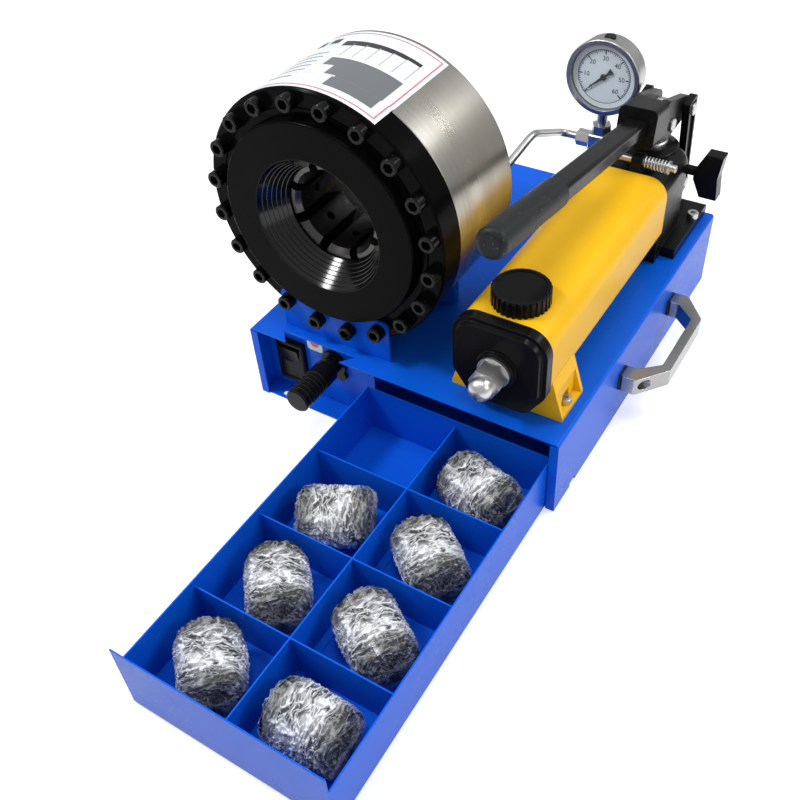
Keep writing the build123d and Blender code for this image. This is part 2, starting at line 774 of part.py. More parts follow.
with BuildPart() as filler:
    filler_seat = tank_z + tank_height + head_fit
    with Locations((pump_x, front_y + filler_setback, filler_seat)):
        Cylinder(filler_radius, filler_height, align=(Align.CENTER, Align.CENTER, Align.MIN))
        chamfer(filler.edges().filter_by(GeomType.CIRCLE).sort_by(Axis.Z)[-1], small_chamfer)
        Cylinder(neck_radius + neck_clearance, neck_height + neck_clearance,
                 align=(Align.CENTER, Align.CENTER, Align.MIN), mode=Mode.SUBTRACT)
        with PolarLocations(filler_radius, filler_flutes):
            Cylinder(filler_flute_radius, filler_height, align=(Align.CENTER, Align.CENTER, Align.MIN),
                     mode=Mode.SUBTRACT)
    with Locations((pump_x, front_y + filler_setback, filler_seat + filler_height)):
        Cylinder(filler_radius - filler_rim, filler_recess, align=(Align.CENTER, Align.CENTER, Align.MAX),
                 mode=Mode.SUBTRACT)
keep(filler.part, "filler_cap")

# The front foot cradles the tank between two pairs of triangular webs.
with BuildPart() as foot:
    foot_y = front_y + foot_setback
    with BuildSketch(facing_front(pump_x, foot_y, deck_z)):
        with BuildLine():
            Polyline((-foot_half_width, 0), (-foot_half_width, foot_thickness),
                     (-tank_width / 2 - head_fit, foot_thickness + foot_web_height),
                     (tank_width / 2 + head_fit, foot_thickness + foot_web_height),
                     (foot_half_width, foot_thickness), (foot_half_width, 0), close=True)
        make_face()
    extrude(amount=-foot_length)
    with BuildSketch(facing_front(pump_x, foot_y, tank_centre_z)):
        add(tank_outline(0))
    extrude(amount=-foot_length, mode=Mode.SUBTRACT)
    for side in (-1, 1):
        with Locations((pump_x + side * (tank_width / 2 + foot_web), foot_y + foot_length / 2,
                        deck_z + foot_thickness)):
            Box(foot_half_width, foot_length - 2 * foot_web, foot_web_height,
                align=(Align.MAX if side < 0 else Align.MIN, Align.CENTER, Align.MIN),
                mode=Mode.SUBTRACT)
    with Locations(*[(x, y, deck_z + foot_thickness) for x, y in pump_bolt_places[:2]]):
        Cylinder(pump_bolt_radius + bolt_hole_clearance, 4 * foot_thickness, mode=Mode.SUBTRACT)
        Cylinder(pump_bolt_head_radius + 1, tank_lift, mode=Mode.SUBTRACT,
                 align=(Align.CENTER, Align.CENTER, Align.MIN))
keep(foot.part, "tank_foot")

with BuildPart() as block:
    block_y = tank_back
    block_back = block_y + block_length
    with BuildSketch(facing_front(pump_x, block_y, deck_z)):
        with BuildLine():
            Polyline((-block_half_width, 0), (-block_half_width, block_height),
                     (block_half_width, block_height), (block_half_width, 0), close=True)
        make_face()
    extrude(amount=-block_length)
    fillet(block.edges().filter_by(Axis.Y).group_by(Axis.Z)[-1], block_top_corner)
    fillet(block.edges().filter_by(Axis.Z).group_by(Axis.Y)[-1], block_top_corner)
    foot_middle = front_y + block_foot_setback + block_foot_length / 2
    with Locations((pump_x, foot_middle, deck_z)):
        Box(2 * foot_half_width, block_foot_length, block_foot_thickness,
            align=(Align.CENTER, Align.CENTER, Align.MIN))
    with Locations((pump_x, plunger_y, block_top)):
        Cone(tower_radius, gland_radius + tower_ledge, tower_height,
             align=(Align.CENTER, Align.CENTER, Align.MIN))
        Cylinder(plunger_radius + running_fit, plunger_bore_depth + tower_height,
                 align=(Align.CENTER, Align.CENTER, Align.CENTER), mode=Mode.SUBTRACT)
    with Locations(*[(x, y, deck_z) for x, y in pump_bolt_places[2:]]):
        Cylinder(pump_bolt_radius + bolt_hole_clearance, 4 * block_foot_thickness, mode=Mode.SUBTRACT)
    # spine at the back for the links' lower pin
    with BuildSketch(facing_right(pump_x - link_inner + link_gap, 0, 0)):
        with Locations((link_foot_y, link_foot_height)):
            Circle(spine_radius)
        with Locations((link_foot_y, deck_z)):
            Rectangle(2 * spine_radius, link_foot_height - deck_z, align=(Align.CENTER, Align.MIN))
        with Locations((link_foot_y, deck_z)):
            Rectangle(link_foot_y - block_back + block_top_corner, link_foot_height - deck_z + spine_radius,
                      align=(Align.MAX, Align.MIN))
    extrude(amount=2 * (link_inner - link_gap))
    with Locations((pump_x, link_foot_y, link_foot_height)):
        Cylinder(lever_pin_radius + running_fit, 4 * link_inner, rotation=(0, 90, 0), mode=Mode.SUBTRACT)
    # outlet housing at the back left corner, clear of the left link
    with Locations((port_boss_left, stem_y + port_boss_half, tee_height)):
        Box(port_boss_width, stem_y + port_boss_half - block_back + block_top_corner, 2 * port_boss_half,
            align=(Align.MIN, Align.MAX, Align.CENTER))
    fillet([edge for edge in block.edges().filter_by(Axis.X)
            if edge.center().Y > stem_y + port_boss_half - 1], port_boss_round)
    # valve seat in the right side
    with BuildSketch(facing_right(block_right - valve_seat_depth, valve_y, valve_height)):
        Circle(valve_stem_radius + running_fit)
    extrude(amount=valve_seat_depth, mode=Mode.SUBTRACT)
    # lug on the top that carries the latch rod
    with BuildSketch(facing_right(pump_x + latch_lug_left, latch_y, latch_height)):
        Circle(latch_lug_radius)
        Rectangle(2 * latch_lug_radius, latch_height - block_top, align=(Align.CENTER, Align.MAX))
    extrude(amount=latch_lug_right - latch_lug_left)
    with Locations((pump_x, latch_y, latch_height)):
        Cylinder(latch_radius + running_fit, 4 * latch_right, rotation=(0, 90, 0), mode=Mode.SUBTRACT)
keep(block.part, "pump_block")

pump_bolt = cap_screw(pump_bolt_head_radius, pump_bolt_head_height, pump_bolt_socket_across_flats,
                      pump_bolt_socket_depth, pump_bolt_radius, 1)
bolt_seats = [deck_z + foot_thickness] * 2 + [deck_z + block_foot_thickness] * 2
with BuildPart() as pump_bolts:
    for (x, y), seat in zip(pump_bolt_places, bolt_seats):
        nut_bottom = deck_z - sheet - pump_nut_height
        with Locations((x, y, seat)):
            add(pump_bolt)
            Cylinder(pump_bolt_radius, seat - nut_bottom, align=(Align.CENTER, Align.CENTER, Align.MAX))
        with BuildSketch(Plane.XY.offset(deck_z - sheet)):
            with Locations((x, y)):
                RegularPolygon(pump_bolt_head_radius, 6, major_radius=False)
        extrude(amount=-pump_nut_height)
keep(pump_bolts.part, "pump_bolts")

with BuildPart() as gland:
    with Locations((pump_x, plunger_y, tower_top)):
        Cylinder(gland_radius, gland_height, align=(Align.CENTER, Align.CENTER, Align.MIN))
        chamfer(gland.edges().filter_by(GeomType.CIRCLE).sort_by(Axis.Z)[-1], small_chamfer)
        Cylinder(plunger_radius + running_fit, gland_height, mode=Mode.SUBTRACT,
                 align=(Align.CENTER, Align.CENTER, Align.MIN))
keep(gland.part, "plunger_gland")

# The plunger's eye is long in Y: it takes up the small side travel of the lever's pin.
with BuildPart() as plunger:
    with Locations((pump_x, plunger_y, tower_top - plunger_depth)):
        Cylinder(plunger_radius, lever_pin_height - tower_top + plunger_depth,
                 align=(Align.CENTER, Align.CENTER, Align.MIN))
    with BuildSketch(facing_right(pump_x - plunger_head_half_width, plunger_y, lever_pin_height)):
        Circle(plunger_head_radius)
        with Locations((0, -plunger_head_radius / 2)):
            Rectangle(2 * plunger_radius, plunger_head_radius)
    extrude(amount=2 * plunger_head_half_width)
    with BuildSketch(facing_right(pump_x - plunger_head_half_width, plunger_y, lever_pin_height)):
        SlotCenterToCenter(plunger_slot, 2 * (lever_pin_radius + plunger_eye_clearance))
    extrude(amount=2 * plunger_head_half_width, mode=Mode.SUBTRACT)
keep(plunger.part, "pump_plunger")

# ---------------------------------------------------------------- lever

slope = radians(lever_slope)
lever_run = hypot(socket_mouth_y - bar_y, bar_height - socket_mouth_height)


def across_lever(distance):
    """A sketch plane across the lever, this far out of the socket's mouth towards the grip."""
    return Plane(origin=(pump_x, socket_mouth_y - distance * cos(slope),
                         socket_mouth_height + distance * sin(slope)),
                 x_dir=(1, 0, 0), z_dir=(0, -cos(slope), sin(slope)))


bar_corner = bar_half_height / 2
with BuildPart() as socket:
    with BuildSketch(across_lever(0)):
        RectangleRounded(2 * socket_half_width, 2 * socket_half_width, socket_half_width / 3)
    extrude(amount=-socket_length)
    with BuildSketch(facing_right(pump_x - ear_outer, 0, 0)):
        ear_front = socket_mouth_y + socket_length * cos(slope)
        ear_front_z = socket_mouth_height - socket_length * sin(slope)
        with Locations((ear_front, ear_front_z)):
            Circle(socket_half_width - 1)
        with Locations((plunger_y, lever_pin_height + ear_rise - ear_radius)):
            Circle(ear_radius)
        with Locations((plunger_y, lever_pin_height)):
            Circle(ear_radius)
        with Locations((link_pin_y, link_pin_height)):
            Circle(ear_radius)
        make_hull()
    extrude(amount=2 * ear_outer)
    # slot between the two ears, open to the back and underneath, for the plunger's head
    slot_front = plunger_y - plunger_head_radius - plunger_slot
    with Locations((pump_x, slot_front, lever_pin_height)):
        Box(2 * ear_inner, cabinet_depth, cabinet_depth, align=(Align.CENTER, Align.MIN, Align.CENTER),
            mode=Mode.SUBTRACT)
    with BuildSketch(across_lever(0)):
        RectangleRounded(2 * bar_half_width + lever_fit, 2 * bar_half_height + lever_fit, bar_corner)
    extrude(amount=-bar_overlap_in_socket, mode=Mode.SUBTRACT)
    for y, z in ((plunger_y, lever_pin_height), (link_pin_y, link_pin_height)):
        with Locations((pump_x, y, z)):
            Cylinder(lever_pin_radius + running_fit, 3 * ear_outer, rotation=(0, 90, 0),
                     mode=Mode.SUBTRACT)
keep(socket.part, "lever_socket")

with BuildPart() as bar:
    with BuildSketch(across_lever(lever_run + grip_overlap)):
        RectangleRounded(2 * bar_half_width, 2 * bar_half_height, bar_corner)
    extrude(amount=-(lever_run + grip_overlap + bar_overlap_in_socket - lever_fit))
keep(bar.part, "lever_bar")

with BuildPart() as grip:
    with BuildSketch(across_lever(lever_run)):
        Circle(grip_radius)
    extrude(amount=grip_length)
    fillet(grip.edges().filter_by(GeomType.CIRCLE).sort_by(Axis.Y)[0], grip_end_round)
    with BuildSketch(across_lever(lever_run)):
        RectangleRounded(2 * bar_half_width, 2 * bar_half_height, bar_corner)
    extrude(amount=grip_overlap, mode=Mode.SUBTRACT)
keep(grip.part, "lever_grip")


def headed_pin(y, z, half_length):
    """A clevis pin along X with a low head at each end."""
    with BuildPart() as pin:
        with Locations((pump_x, y, z)):
            Cylinder(lever_pin_radius, 2 * half_length, rotation=(0, 90, 0))
        for side in (-1, 1):
            with Locations((pump_x + side * (half_length + pin_head_height / 2), y, z)):
                Cylinder(pin_head_radius, pin_head_height, rotation=(0, 90, 0))
        chamfer(pin.edges().filter_by(GeomType.CIRCLE).group_by(Axis.X)[0]
                + pin.edges().filter_by(GeomType.CIRCLE).group_by(Axis.X)[-1], pin_head_height / 3)
    return pin.part


keep(headed_pin(plunger_y, lever_pin_height, ear_outer + head_fit), "lever_pin")

# The two links stand one on each side of the ears. Their upper end is square, their sides are recessed.
link_length = hypot(link_foot_y - link_pin_y, link_pin_height - link_foot_height)
link_lean = atan2(link_foot_y - link_pin_y, link_pin_height - link_foot_height)


def link_outline(inset):
    """A link's side, drawn from its foot pin upwards and made smaller all round by inset."""
    foot_half = link_foot_width / 2 - inset
    top_half = link_top_width / 2 - inset
    low = inset - link_end
    high = link_length + link_end - inset
    with BuildSketch() as outline:
        with BuildLine():
            Polyline((-foot_half, low), (foot_half, low), (top_half, high), (-top_half, high), close=True)
        make_face()
        fillet(outline.vertices(), link_rib)
    return outline.sketch


with BuildPart() as links:
    for side in (-1, 1):
        outer_face = Plane(origin=(pump_x + side * link_outer, link_foot_y, link_foot_height),
                           x_dir=(0, cos(link_lean), sin(link_lean)), z_dir=(1, 0, 0))
        with BuildSketch(outer_face):
            add(link_outline(0))
        extrude(amount=-side * link_thickness)
        with BuildSketch(outer_face):
            add(link_outline(link_rib))
        extrude(amount=-side * link_recess, mode=Mode.SUBTRACT)
    for y, z in ((link_pin_y, link_pin_height), (link_foot_y, link_foot_height)):
        with Locations((pump_x, y, z)):
            Cylinder(lever_pin_radius + running_fit, 3 * link_outer, rotation=(0, 90, 0),
                     mode=Mode.SUBTRACT)
keep(links.part, "lever_links")

with BuildPart() as link_pins:
    add(headed_pin(link_pin_y, link_pin_height, link_outer))
    add(headed_pin(link_foot_y, link_foot_height, link_outer))
keep(link_pins.part, "link_pins")

# ---------------------------------------------------------------- valves on the pump block

with BuildPart() as valve:
    stem_end = block_right + valve_stem_length
    with BuildSketch(facing_right(block_right - valve_seat_depth, valve_y, valve_height)):
        Circle(valve_stem_radius)
    extrude(amount=valve_seat_depth + valve_stem_length)
    # the wings sweep out from the stem and end square
    with BuildSketch(facing_front(0, valve_y - wing_thickness / 2, 0)):
        with BuildLine():
            high = valve_height + wing_half_length
            low = valve_height - wing_half_length
            Polyline((stem_end - wing_root, valve_height + valve_stem_radius),
                     (stem_end + wing_flare, high), (stem_end + wing_depth, high),
                     (stem_end + wing_depth - wing_dish, valve_height),
                     (stem_end + wing_depth, low), (stem_end + wing_flare, low),
                     (stem_end - wing_root, valve_height - valve_stem_radius), close=True)
        make_face()
    extrude(amount=-wing_thickness)
    wing_ends = valve.faces().filter_by(Axis.Z).sort_by(Axis.Z)
    chamfer(wing_ends[-1].edges() + wing_ends[0].edges(), 1)
keep(valve.part, "release_valve_knob")

with BuildPart() as latch:
    with Locations((pump_x + latch_left, latch_y, latch_height)):
        Cylinder(latch_radius, latch_right - latch_left, rotation=(0, 90, 0),
                 align=(Align.CENTER, Align.CENTER, Align.MIN))
    chamfer(latch.edges().filter_by(GeomType.CIRCLE), 1)
    with Locations((pump_x + latch_right - latch_clip_from_end, latch_y, latch_height)):
        Cylinder(latch_clip_radius, latch_clip_thickness, rotation=(0, 90, 0),
                 align=(Align.CENTER, Align.CENTER, Align.MIN))
keep(latch.part, "latch_rod")

spring_start = pump_x + latch_lug_right
spring_length = latch_right - latch_clip_from_end - latch_lug_right
with BuildPart() as latch_spring:
    pitch = (spring_length - 2 * latch_spring_wire) / latch_spring_coils
    with BuildLine() as coil:
        Helix(pitch, pitch * latch_spring_coils, latch_spring_radius - latch_spring_wire,
              center=(spring_start + latch_spring_wire, latch_y, latch_height), direction=(1, 0, 0))
    with BuildSketch(Plane(origin=coil.line @ 0, z_dir=coil.line % 0)):
        RegularPolygon(latch_spring_wire, 6)
    sweep(is_frenet=True)
keep(latch_spring.part, "latch_spring")

# ---------------------------------------------------------------- pressure gauge and pipe



def turned_about_gauge(profile):
    """A ring or disc about the gauge's axis from a closed outline of (radius, y) corners."""
    with BuildPart() as ring:
        with BuildSketch(Plane(origin=(gauge_x, 0, gauge_height), z_dir=(0, 0, 1))):
            with BuildLine():
                Polyline(*profile, close=True)
            make_face()
        revolve(axis=gauge_axis)
    return ring.part


tee_top = tee_height + tee_half_size
with BuildPart() as case:
    rim_inner = gauge_rim_radius - gauge_rim_width
    dial_y = gauge_y + gauge_dial_depth
    add(turned_about_gauge([
        (rim_inner, gauge_y), (gauge_rim_radius - 1, gauge_y), (gauge_rim_radius, gauge_y + 1),
        (gauge_rim_radius, gauge_y + gauge_rim_depth), (gauge_case_radius, gauge_y + gauge_rim_depth),
        (gauge_case_radius, gauge_back - gauge_case_chamfer),
        (gauge_case_radius - gauge_case_chamfer, gauge_back), (0, gauge_back),
        (0, dial_y + gauge_dial_thickness), (rim_inner, dial_y + gauge_dial_thickness)]))
    with Locations((gauge_x, stem_y, tee_top)):
        Cylinder(gauge_stem_radius, gauge_height - gauge_case_radius / 2 - tee_top,
                 align=(Align.CENTER, Align.CENTER, Align.MIN))
    with BuildSketch(Plane.XY.offset(tee_top)):
        with Locations((gauge_x, stem_y)):
            RegularPolygon(gauge_hex_across_flats / 2, 6, major_radius=False)
    extrude(amount=gauge_hex_height)
    with Locations((gauge_x, stem_y, gauge_height + gauge_case_radius)):
        Cylinder(gauge_plug_radius, 2 * gauge_plug_height, mode=Mode.SUBTRACT)
keep(case.part, "gauge_case")

keep(turned_about_gauge([
    (0, dial_y), (gauge_dial_radius, dial_y), (gauge_dial_radius, dial_y + gauge_dial_thickness),
    (0, dial_y + gauge_dial_thickness)]), "gauge_dial")

glass_y = gauge_y + gauge_glass_depth
keep(turned_about_gauge([
    (0, glass_y), (rim_inner, glass_y), (rim_inner, glass_y + gauge_glass_thickness),
    (0, glass_y + gauge_glass_thickness)]), "gauge_glass")

with BuildPart() as gauge_plug:
    with Locations((gauge_x, stem_y, gauge_height + gauge_case_radius - gauge_plug_height)):
        Cylinder(gauge_plug_radius, 2 * gauge_plug_height,
                 align=(Align.CENTER, Align.CENTER, Align.MIN))
    chamfer(gauge_plug.edges().filter_by(GeomType.CIRCLE).sort_by(Axis.Z)[-1], 1)
keep(gauge_plug.part, "gauge_plug")

# The pointer turns on a spindle that stands in the dial; it rests at the start of the scale.
pointer_y = (glass_y + gauge_glass_thickness + dial_y) / 2 + pointer_thickness / 2
with BuildPart() as pointer:
    rest = radians(pointer_angle)
    with BuildSketch(Plane(origin=(gauge_x, pointer_y, gauge_height), x_dir=(cos(rest), 0, sin(rest)),
                           z_dir=(0, -1, 0))):
        with BuildLine():
            Polyline((pointer_length, 0), (0, pointer_width / 2), (-pointer_tail / 2, pointer_width / 3),
                     (-pointer_tail, pointer_width), (-pointer_tail, -pointer_width),
                     (-pointer_tail / 2, -pointer_width / 3), (0, -pointer_width / 2), close=True)
        make_face()
        Circle(pointer_hub_radius)
    extrude(amount=pointer_thickness)
    with BuildSketch(facing_front(gauge_x, pointer_y, gauge_height)):
        Circle(pointer_spindle_radius)
    extrude(amount=-(dial_y - pointer_y - running_fit))
keep(pointer.part, "gauge_pointer")

tee_left = gauge_x - tee_half_size
tee_right = gauge_x + tee_half_size
with BuildPart() as tee:
    with Locations((gauge_x, stem_y, tee_height)):
        Box(2 * tee_half_size, 2 * tee_half_size, 2 * tee_half_size)
        chamfer(tee.edges(), small_chamfer)
    with Locations((tee_right, stem_y, tee_height)):
        Cylinder(gauge_stem_radius, port_boss_left - tee_right, rotation=(0, 90, 0),
                 align=(Align.CENTER, Align.CENTER, Align.MIN))
keep(tee.part, "gauge_tee")

pipe_start = Vector(port_x, cylinder_back + fitting_length, port_z)
pipe_end = Vector(tee_left - fitting_length, stem_y, tee_height)
pipe_route = [pipe_start,
              pipe_start + Vector(0, pipe_first_run, 0),
              Vector(left_x + pipe_crest_from_left, front_y + pipe_crest_setback, pipe_crest_height),
              pipe_end - Vector(pipe_last_run, 0, 0),
              pipe_end]
with BuildPart() as pipe:
    with BuildLine() as pipe_line:
        FilletPolyline(*pipe_route, radius=pipe_bend_radii)
    with BuildSketch(Plane(origin=pipe_line.line @ 0, z_dir=pipe_line.line % 0)):
        Circle(pipe_radius)
    sweep()
keep(pipe.part, "pressure_pipe")

with BuildPart() as fittings:
    with BuildSketch(facing_front(port_x, cylinder_back, port_z)):
        RegularPolygon(fitting_across_flats / 2, 6, major_radius=False)
    extrude(amount=-fitting_length)
    with BuildSketch(facing_right(tee_left - fitting_length, stem_y, tee_height)):
        RegularPolygon(fitting_across_flats / 2, 6, major_radius=False)
    extrude(amount=fitting_length)
keep(fittings.part, "pipe_fittings")

# ---------------------------------------------------------------- carrying handles

with BuildPart() as handles:
    for side in (-1, 1):
        with BuildSketch(Plane.XY.offset(handle_height - handle_bar_width / 2)):
            with BuildLine():
                wall = right_x + handle_pad_thickness
                inner_half = handle_half_span - handle_foot_width
                reach = right_x + handle_foot_reach
                out = right_x + handle_stand_off
                inner_out = out - handle_bar_thickness
                inner_straight = handle_half_straight - handle_bar_thickness / 2
                inner_reach = reach - handle_bar_thickness / 2
                corners = [(wall, -handle_half_span), (reach, -handle_half_span),
                           (out, -handle_half_straight), (out, handle_half_straight),
                           (reach, handle_half_span), (wall, handle_half_span), (wall, inner_half),
                           (inner_reach, inner_half), (inner_out, inner_straight),
                           (inner_out, -inner_straight), (inner_reach, -inner_half),
                           (wall, -inner_half)]
                Polyline(*[(side * x, handle_y + y) for x, y in corners], close=True)
            make_face()
        extrude(amount=handle_bar_width)
    chamfer(handles.edges().filter_by(Axis.Z), handle_edge)
    for x, y, z in handle_holes:
        with Locations((x, y, z)):
            Cylinder(handle_screw_radius + bolt_hole_clearance, 2 * handle_stand_off, rotation=(0, 90, 0),
                     mode=Mode.SUBTRACT)
        outward = 1 if x > 0 else -1
        with Locations((x + outward * (handle_foot_reach - handle_screw_head_height), y, z)):
            Cylinder(handle_screw_head_radius + bolt_hole_clearance, handle_stand_off,
                     rotation=(0, outward * 90, 0), align=(Align.CENTER, Align.CENTER, Align.MIN),
                     mode=Mode.SUBTRACT)
keep(handles.part, "carry_handles")

with BuildPart() as handle_pads:
    for x, y, z in handle_holes:
        outward = 1 if x > 0 else -1
        with Locations((x + outward * handle_pad_thickness / 2, y, z)):
            Box(handle_pad_thickness, handle_foot_width, handle_bar_width)
            Cylinder(handle_screw_radius + bolt_hole_clearance, 2 * handle_pad_thickness,
                     rotation=(0, 90, 0), mode=Mode.SUBTRACT)
keep(handle_pads.part, "handle_pads")

with BuildPart() as handle_screws:
    for x, y, z in handle_holes:
        outward = 1 if x > 0 else -1
        seat = handle_foot_reach - handle_screw_head_height
        inside = sheet + handle_nut_thickness
        with Locations((x + outward * seat, y, z)):
            Cylinder(handle_screw_head_radius, handle_screw_head_height - 1, rotation=(0, outward * 90, 0),
                     align=(Align.CENTER, Align.CENTER, Align.MIN))
        with Locations((x - outward * inside, y, z)):
            Cylinder(handle_screw_radius, seat + inside, rotation=(0, outward * 90, 0),
                     align=(Align.CENTER, Align.CENTER, Align.MIN))
            Cylinder(handle_screw_head_radius, handle_nut_thickness, rotation=(0, outward * 90, 0),
                     align=(Align.CENTER, Align.CENTER, Align.MIN))
keep(handle_screws.part, "handle_screws")

# ---------------------------------------------------------------- rocker switch

switch_x = left_x + switch_from_left
switch_front = panel_y - switch_proud
opening_width = switch_width - 2 * switch_border
opening_length = switch_length - 2 * switch_border
with BuildPart() as bezel:
    with Locations((switch_x, panel_y, switch_height)):
        Box(switch_width, switch_proud, switch_length, align=(Align.CENTER, Align.MAX, Align.CENTER))
        fillet(bezel.edges().filter_by(Axis.Y), 2)
        chamfer(bezel.faces().sort_by(Axis.Y)[0].edges(), small_chamfer)
        Box(opening_width, switch_depth, opening_length, align=(Align.CENTER, Align.MIN, Align.CENTER))
    with Locations((switch_x, switch_front, switch_height)):
        Box(opening_width - 2 * switch_wall, switch_proud + switch_depth - switch_wall,
            opening_length - 2 * switch_wall, align=(Align.CENTER, Align.MIN, Align.CENTER),
            mode=Mode.SUBTRACT)
    with Locations((switch_x, switch_front + rocker_pivot_depth, switch_height)):
        Cylinder(rocker_pin_radius + running_fit, opening_width - switch_wall, rotation=(0, 90, 0),
                 mode=Mode.SUBTRACT)
keep(bezel.part, "switch_bezel")

rocker_half_width = opening_width / 2 - switch_wall - rocker_gap
rocker_half_length = opening_length / 2 - switch_wall - rocker_end_gap
rocker_y = switch_front + rocker_pivot_depth
with BuildPart() as rocker:
    with BuildSketch(facing_right(switch_x - rocker_half_width, rocker_y, switch_height)):
        with BuildLine():
            rise = rocker_half_length * tan(radians(rocker_half_angle))
            Polyline((-rocker_pivot_depth + rise / 2, 0),
                     (-rocker_pivot_depth - rise / 2, rocker_half_length),
                     (0, rocker_half_length - 1), (rocker_keel, 0), (0, 1 - rocker_half_length),
                     (-rocker_pivot_depth - rise / 2, -rocker_half_length), close=True)
        make_face()
    extrude(amount=2 * rocker_half_width)
    with Locations((switch_x, rocker_y, switch_height)):
        Cylinder(rocker_pin_radius, opening_width - switch_wall - 2 * rocker_gap, rotation=(0, 90, 0))
keep(rocker.part.rotate(Axis((0, rocker_y, switch_height), (1, 0, 0)), rocker_half_angle), "rocker")

# ---------------------------------------------------------------- die-changing tool

tool_x = left_x + tool_from_left
with BuildPart() as tool_socket:
    with BuildSketch(facing_front(tool_x, panel_y, tool_height)):
        Circle(tool_socket_radius)
        with Locations((tool_socket_radius * 0.6, -tool_socket_radius * 0.9)):
            Circle(tool_lug_radius)
    extrude(amount=tool_socket_flange)
    with BuildSketch(facing_front(tool_x, panel_y, tool_height)):
        Circle(tool_spigot_radius + tool_fit + tool_socket_wall)
    extrude(amount=-tool_socket_depth)
    with BuildSketch(facing_front(tool_x, panel_y - tool_socket_flange, tool_height)):
        Circle(tool_spigot_radius + tool_fit)
    extrude(amount=-(tool_socket_depth + tool_socket_flange - tool_socket_wall), mode=Mode.SUBTRACT)
keep(tool_socket.part, "tool_socket")

tool_y = panel_y - tool_socket_flange - set_rest_gap
with BuildPart() as tool:
    with BuildSketch(facing_front(tool_x, tool_y, tool_height)):
        Circle(tool_spigot_radius)
    extrude(amount=-tool_spigot_length)
    with BuildSketch(facing_front(tool_x, tool_y, tool_height)):
        Circle(tool_neck_radius)
    extrude(amount=tool_neck_length)
    with BuildSketch(facing_front(tool_x, tool_y - tool_neck_length, tool_height)):
        Circle(tool_radius)
    extrude(amount=tool_length - tool_neck_length)
    chamfer(tool.edges().filter_by(GeomType.CIRCLE).sort_by(Axis.Y)[0], small_chamfer)
    for rib in range(tool_ribs):
        groove_y = tool_y - tool_length + (2 * rib + 3) * tool_rib_width
        with BuildSketch(facing_front(tool_x, groove_y, tool_height)):
            Circle(tool_radius)
            Circle(tool_radius - tool_rib_depth, mode=Mode.SUBTRACT)
        extrude(amount=tool_rib_width, mode=Mode.SUBTRACT)
keep(tool.part, "die_tool")

# ---------------------------------------------------------------- drawer, pulled out

drawer_back = front_y + drawer_engagement
drawer_front = drawer_back - drawer_length
drawer_width = bay_width - 2 * drawer_gap
drawer_floor = sheet + drawer_lift
tray_floor = drawer_floor + drawer_sheet
with BuildPart() as tray:
    with Locations((bay_centre, drawer_back, drawer_floor)):
        Box(drawer_width, drawer_length, drawer_height, align=(Align.CENTER, Align.MAX, Align.MIN))
    with Locations((bay_centre, drawer_back - drawer_sheet, tray_floor)):
        Box(drawer_width - 2 * drawer_sheet, drawer_length - 2 * drawer_sheet, drawer_height,
            align=(Align.CENTER, Align.MAX, Align.MIN), mode=Mode.SUBTRACT)
    with Locations((bay_centre, drawer_front, drawer_floor)):
        Box(drawer_width, drawer_sheet, drawer_front_height, align=(Align.CENTER, Align.MIN, Align.MIN))
keep(tray.part, "drawer_tray")

inner_width = drawer_width - 2 * drawer_sheet
inner_length = drawer_length - 2 * drawer_sheet
row_pitch = inner_length / drawer_rows
column_pitch = inner_width / drawer_columns
tray_back = drawer_back - drawer_sheet
tray_left = bay_centre - inner_width / 2
with BuildPart() as dividers:
    with Locations((bay_centre, tray_back - inner_length / 2, tray_floor)):
        Box(drawer_sheet, inner_length, divider_height, align=(Align.CENTER, Align.CENTER, Align.MIN))
        Box(drawer_sheet + 2 * divider_foot, inner_length, drawer_sheet,
            align=(Align.CENTER, Align.CENTER, Align.MIN))
    for row in range(1, drawer_rows):
        with Locations((bay_centre, tray_back - row * row_pitch, tray_floor)):
            Box(inner_width, drawer_sheet, divider_height, align=(Align.CENTER, Align.CENTER, Align.MIN))
keep(dividers.part, "drawer_dividers")


def die_set(bore, x, y, angle):
    """A closed-up ring of crimping-die segments lying on its side in a drawer compartment."""
    lie = tray_floor + set_outer_radius + set_rest_gap
    with BuildPart() as ring:
        with BuildSketch(Plane.YZ):
            Circle(set_outer_radius)
            Circle(bore, mode=Mode.SUBTRACT)
            with PolarLocations(0, set_segments, start_angle=180 / set_segments):
                Rectangle(2 * set_outer_radius, set_slit, align=(Align.MIN, Align.CENTER),
                          mode=Mode.SUBTRACT)
        extrude(amount=set_length / 2, both=True)
    return ring.part.rotate(Axis.Z, angle).moved(Location((x, y, lie)))


# The compartment at the back left is empty; the other sets are stored row by row.
compartments = [(row, column) for row in range(drawer_rows) for column in range(drawer_columns)][1:]
row_names = ("back", "second", "third", "front")
rows = {name: [] for name in row_names}
for (row, column), bore, angle in zip(compartments, set_bores, set_angles):
    x = tray_left + (column + 0.5) * column_pitch
    y = tray_back - (row + 0.5) * row_pitch
    rows[row_names[row]].append(die_set(bore, x, y, angle))
for name, sets in rows.items():
    with BuildPart() as stored:
        for ring in sets:
            add(ring)
    keep(stored.part, f"die_sets_{name}_row")

os.makedirs("parts", exist_ok=True)
for label, piece in parts.items():
    export_step(piece, f"parts/{label}.step")
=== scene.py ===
"""Looks for a bench-top hose crimping machine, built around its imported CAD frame."""

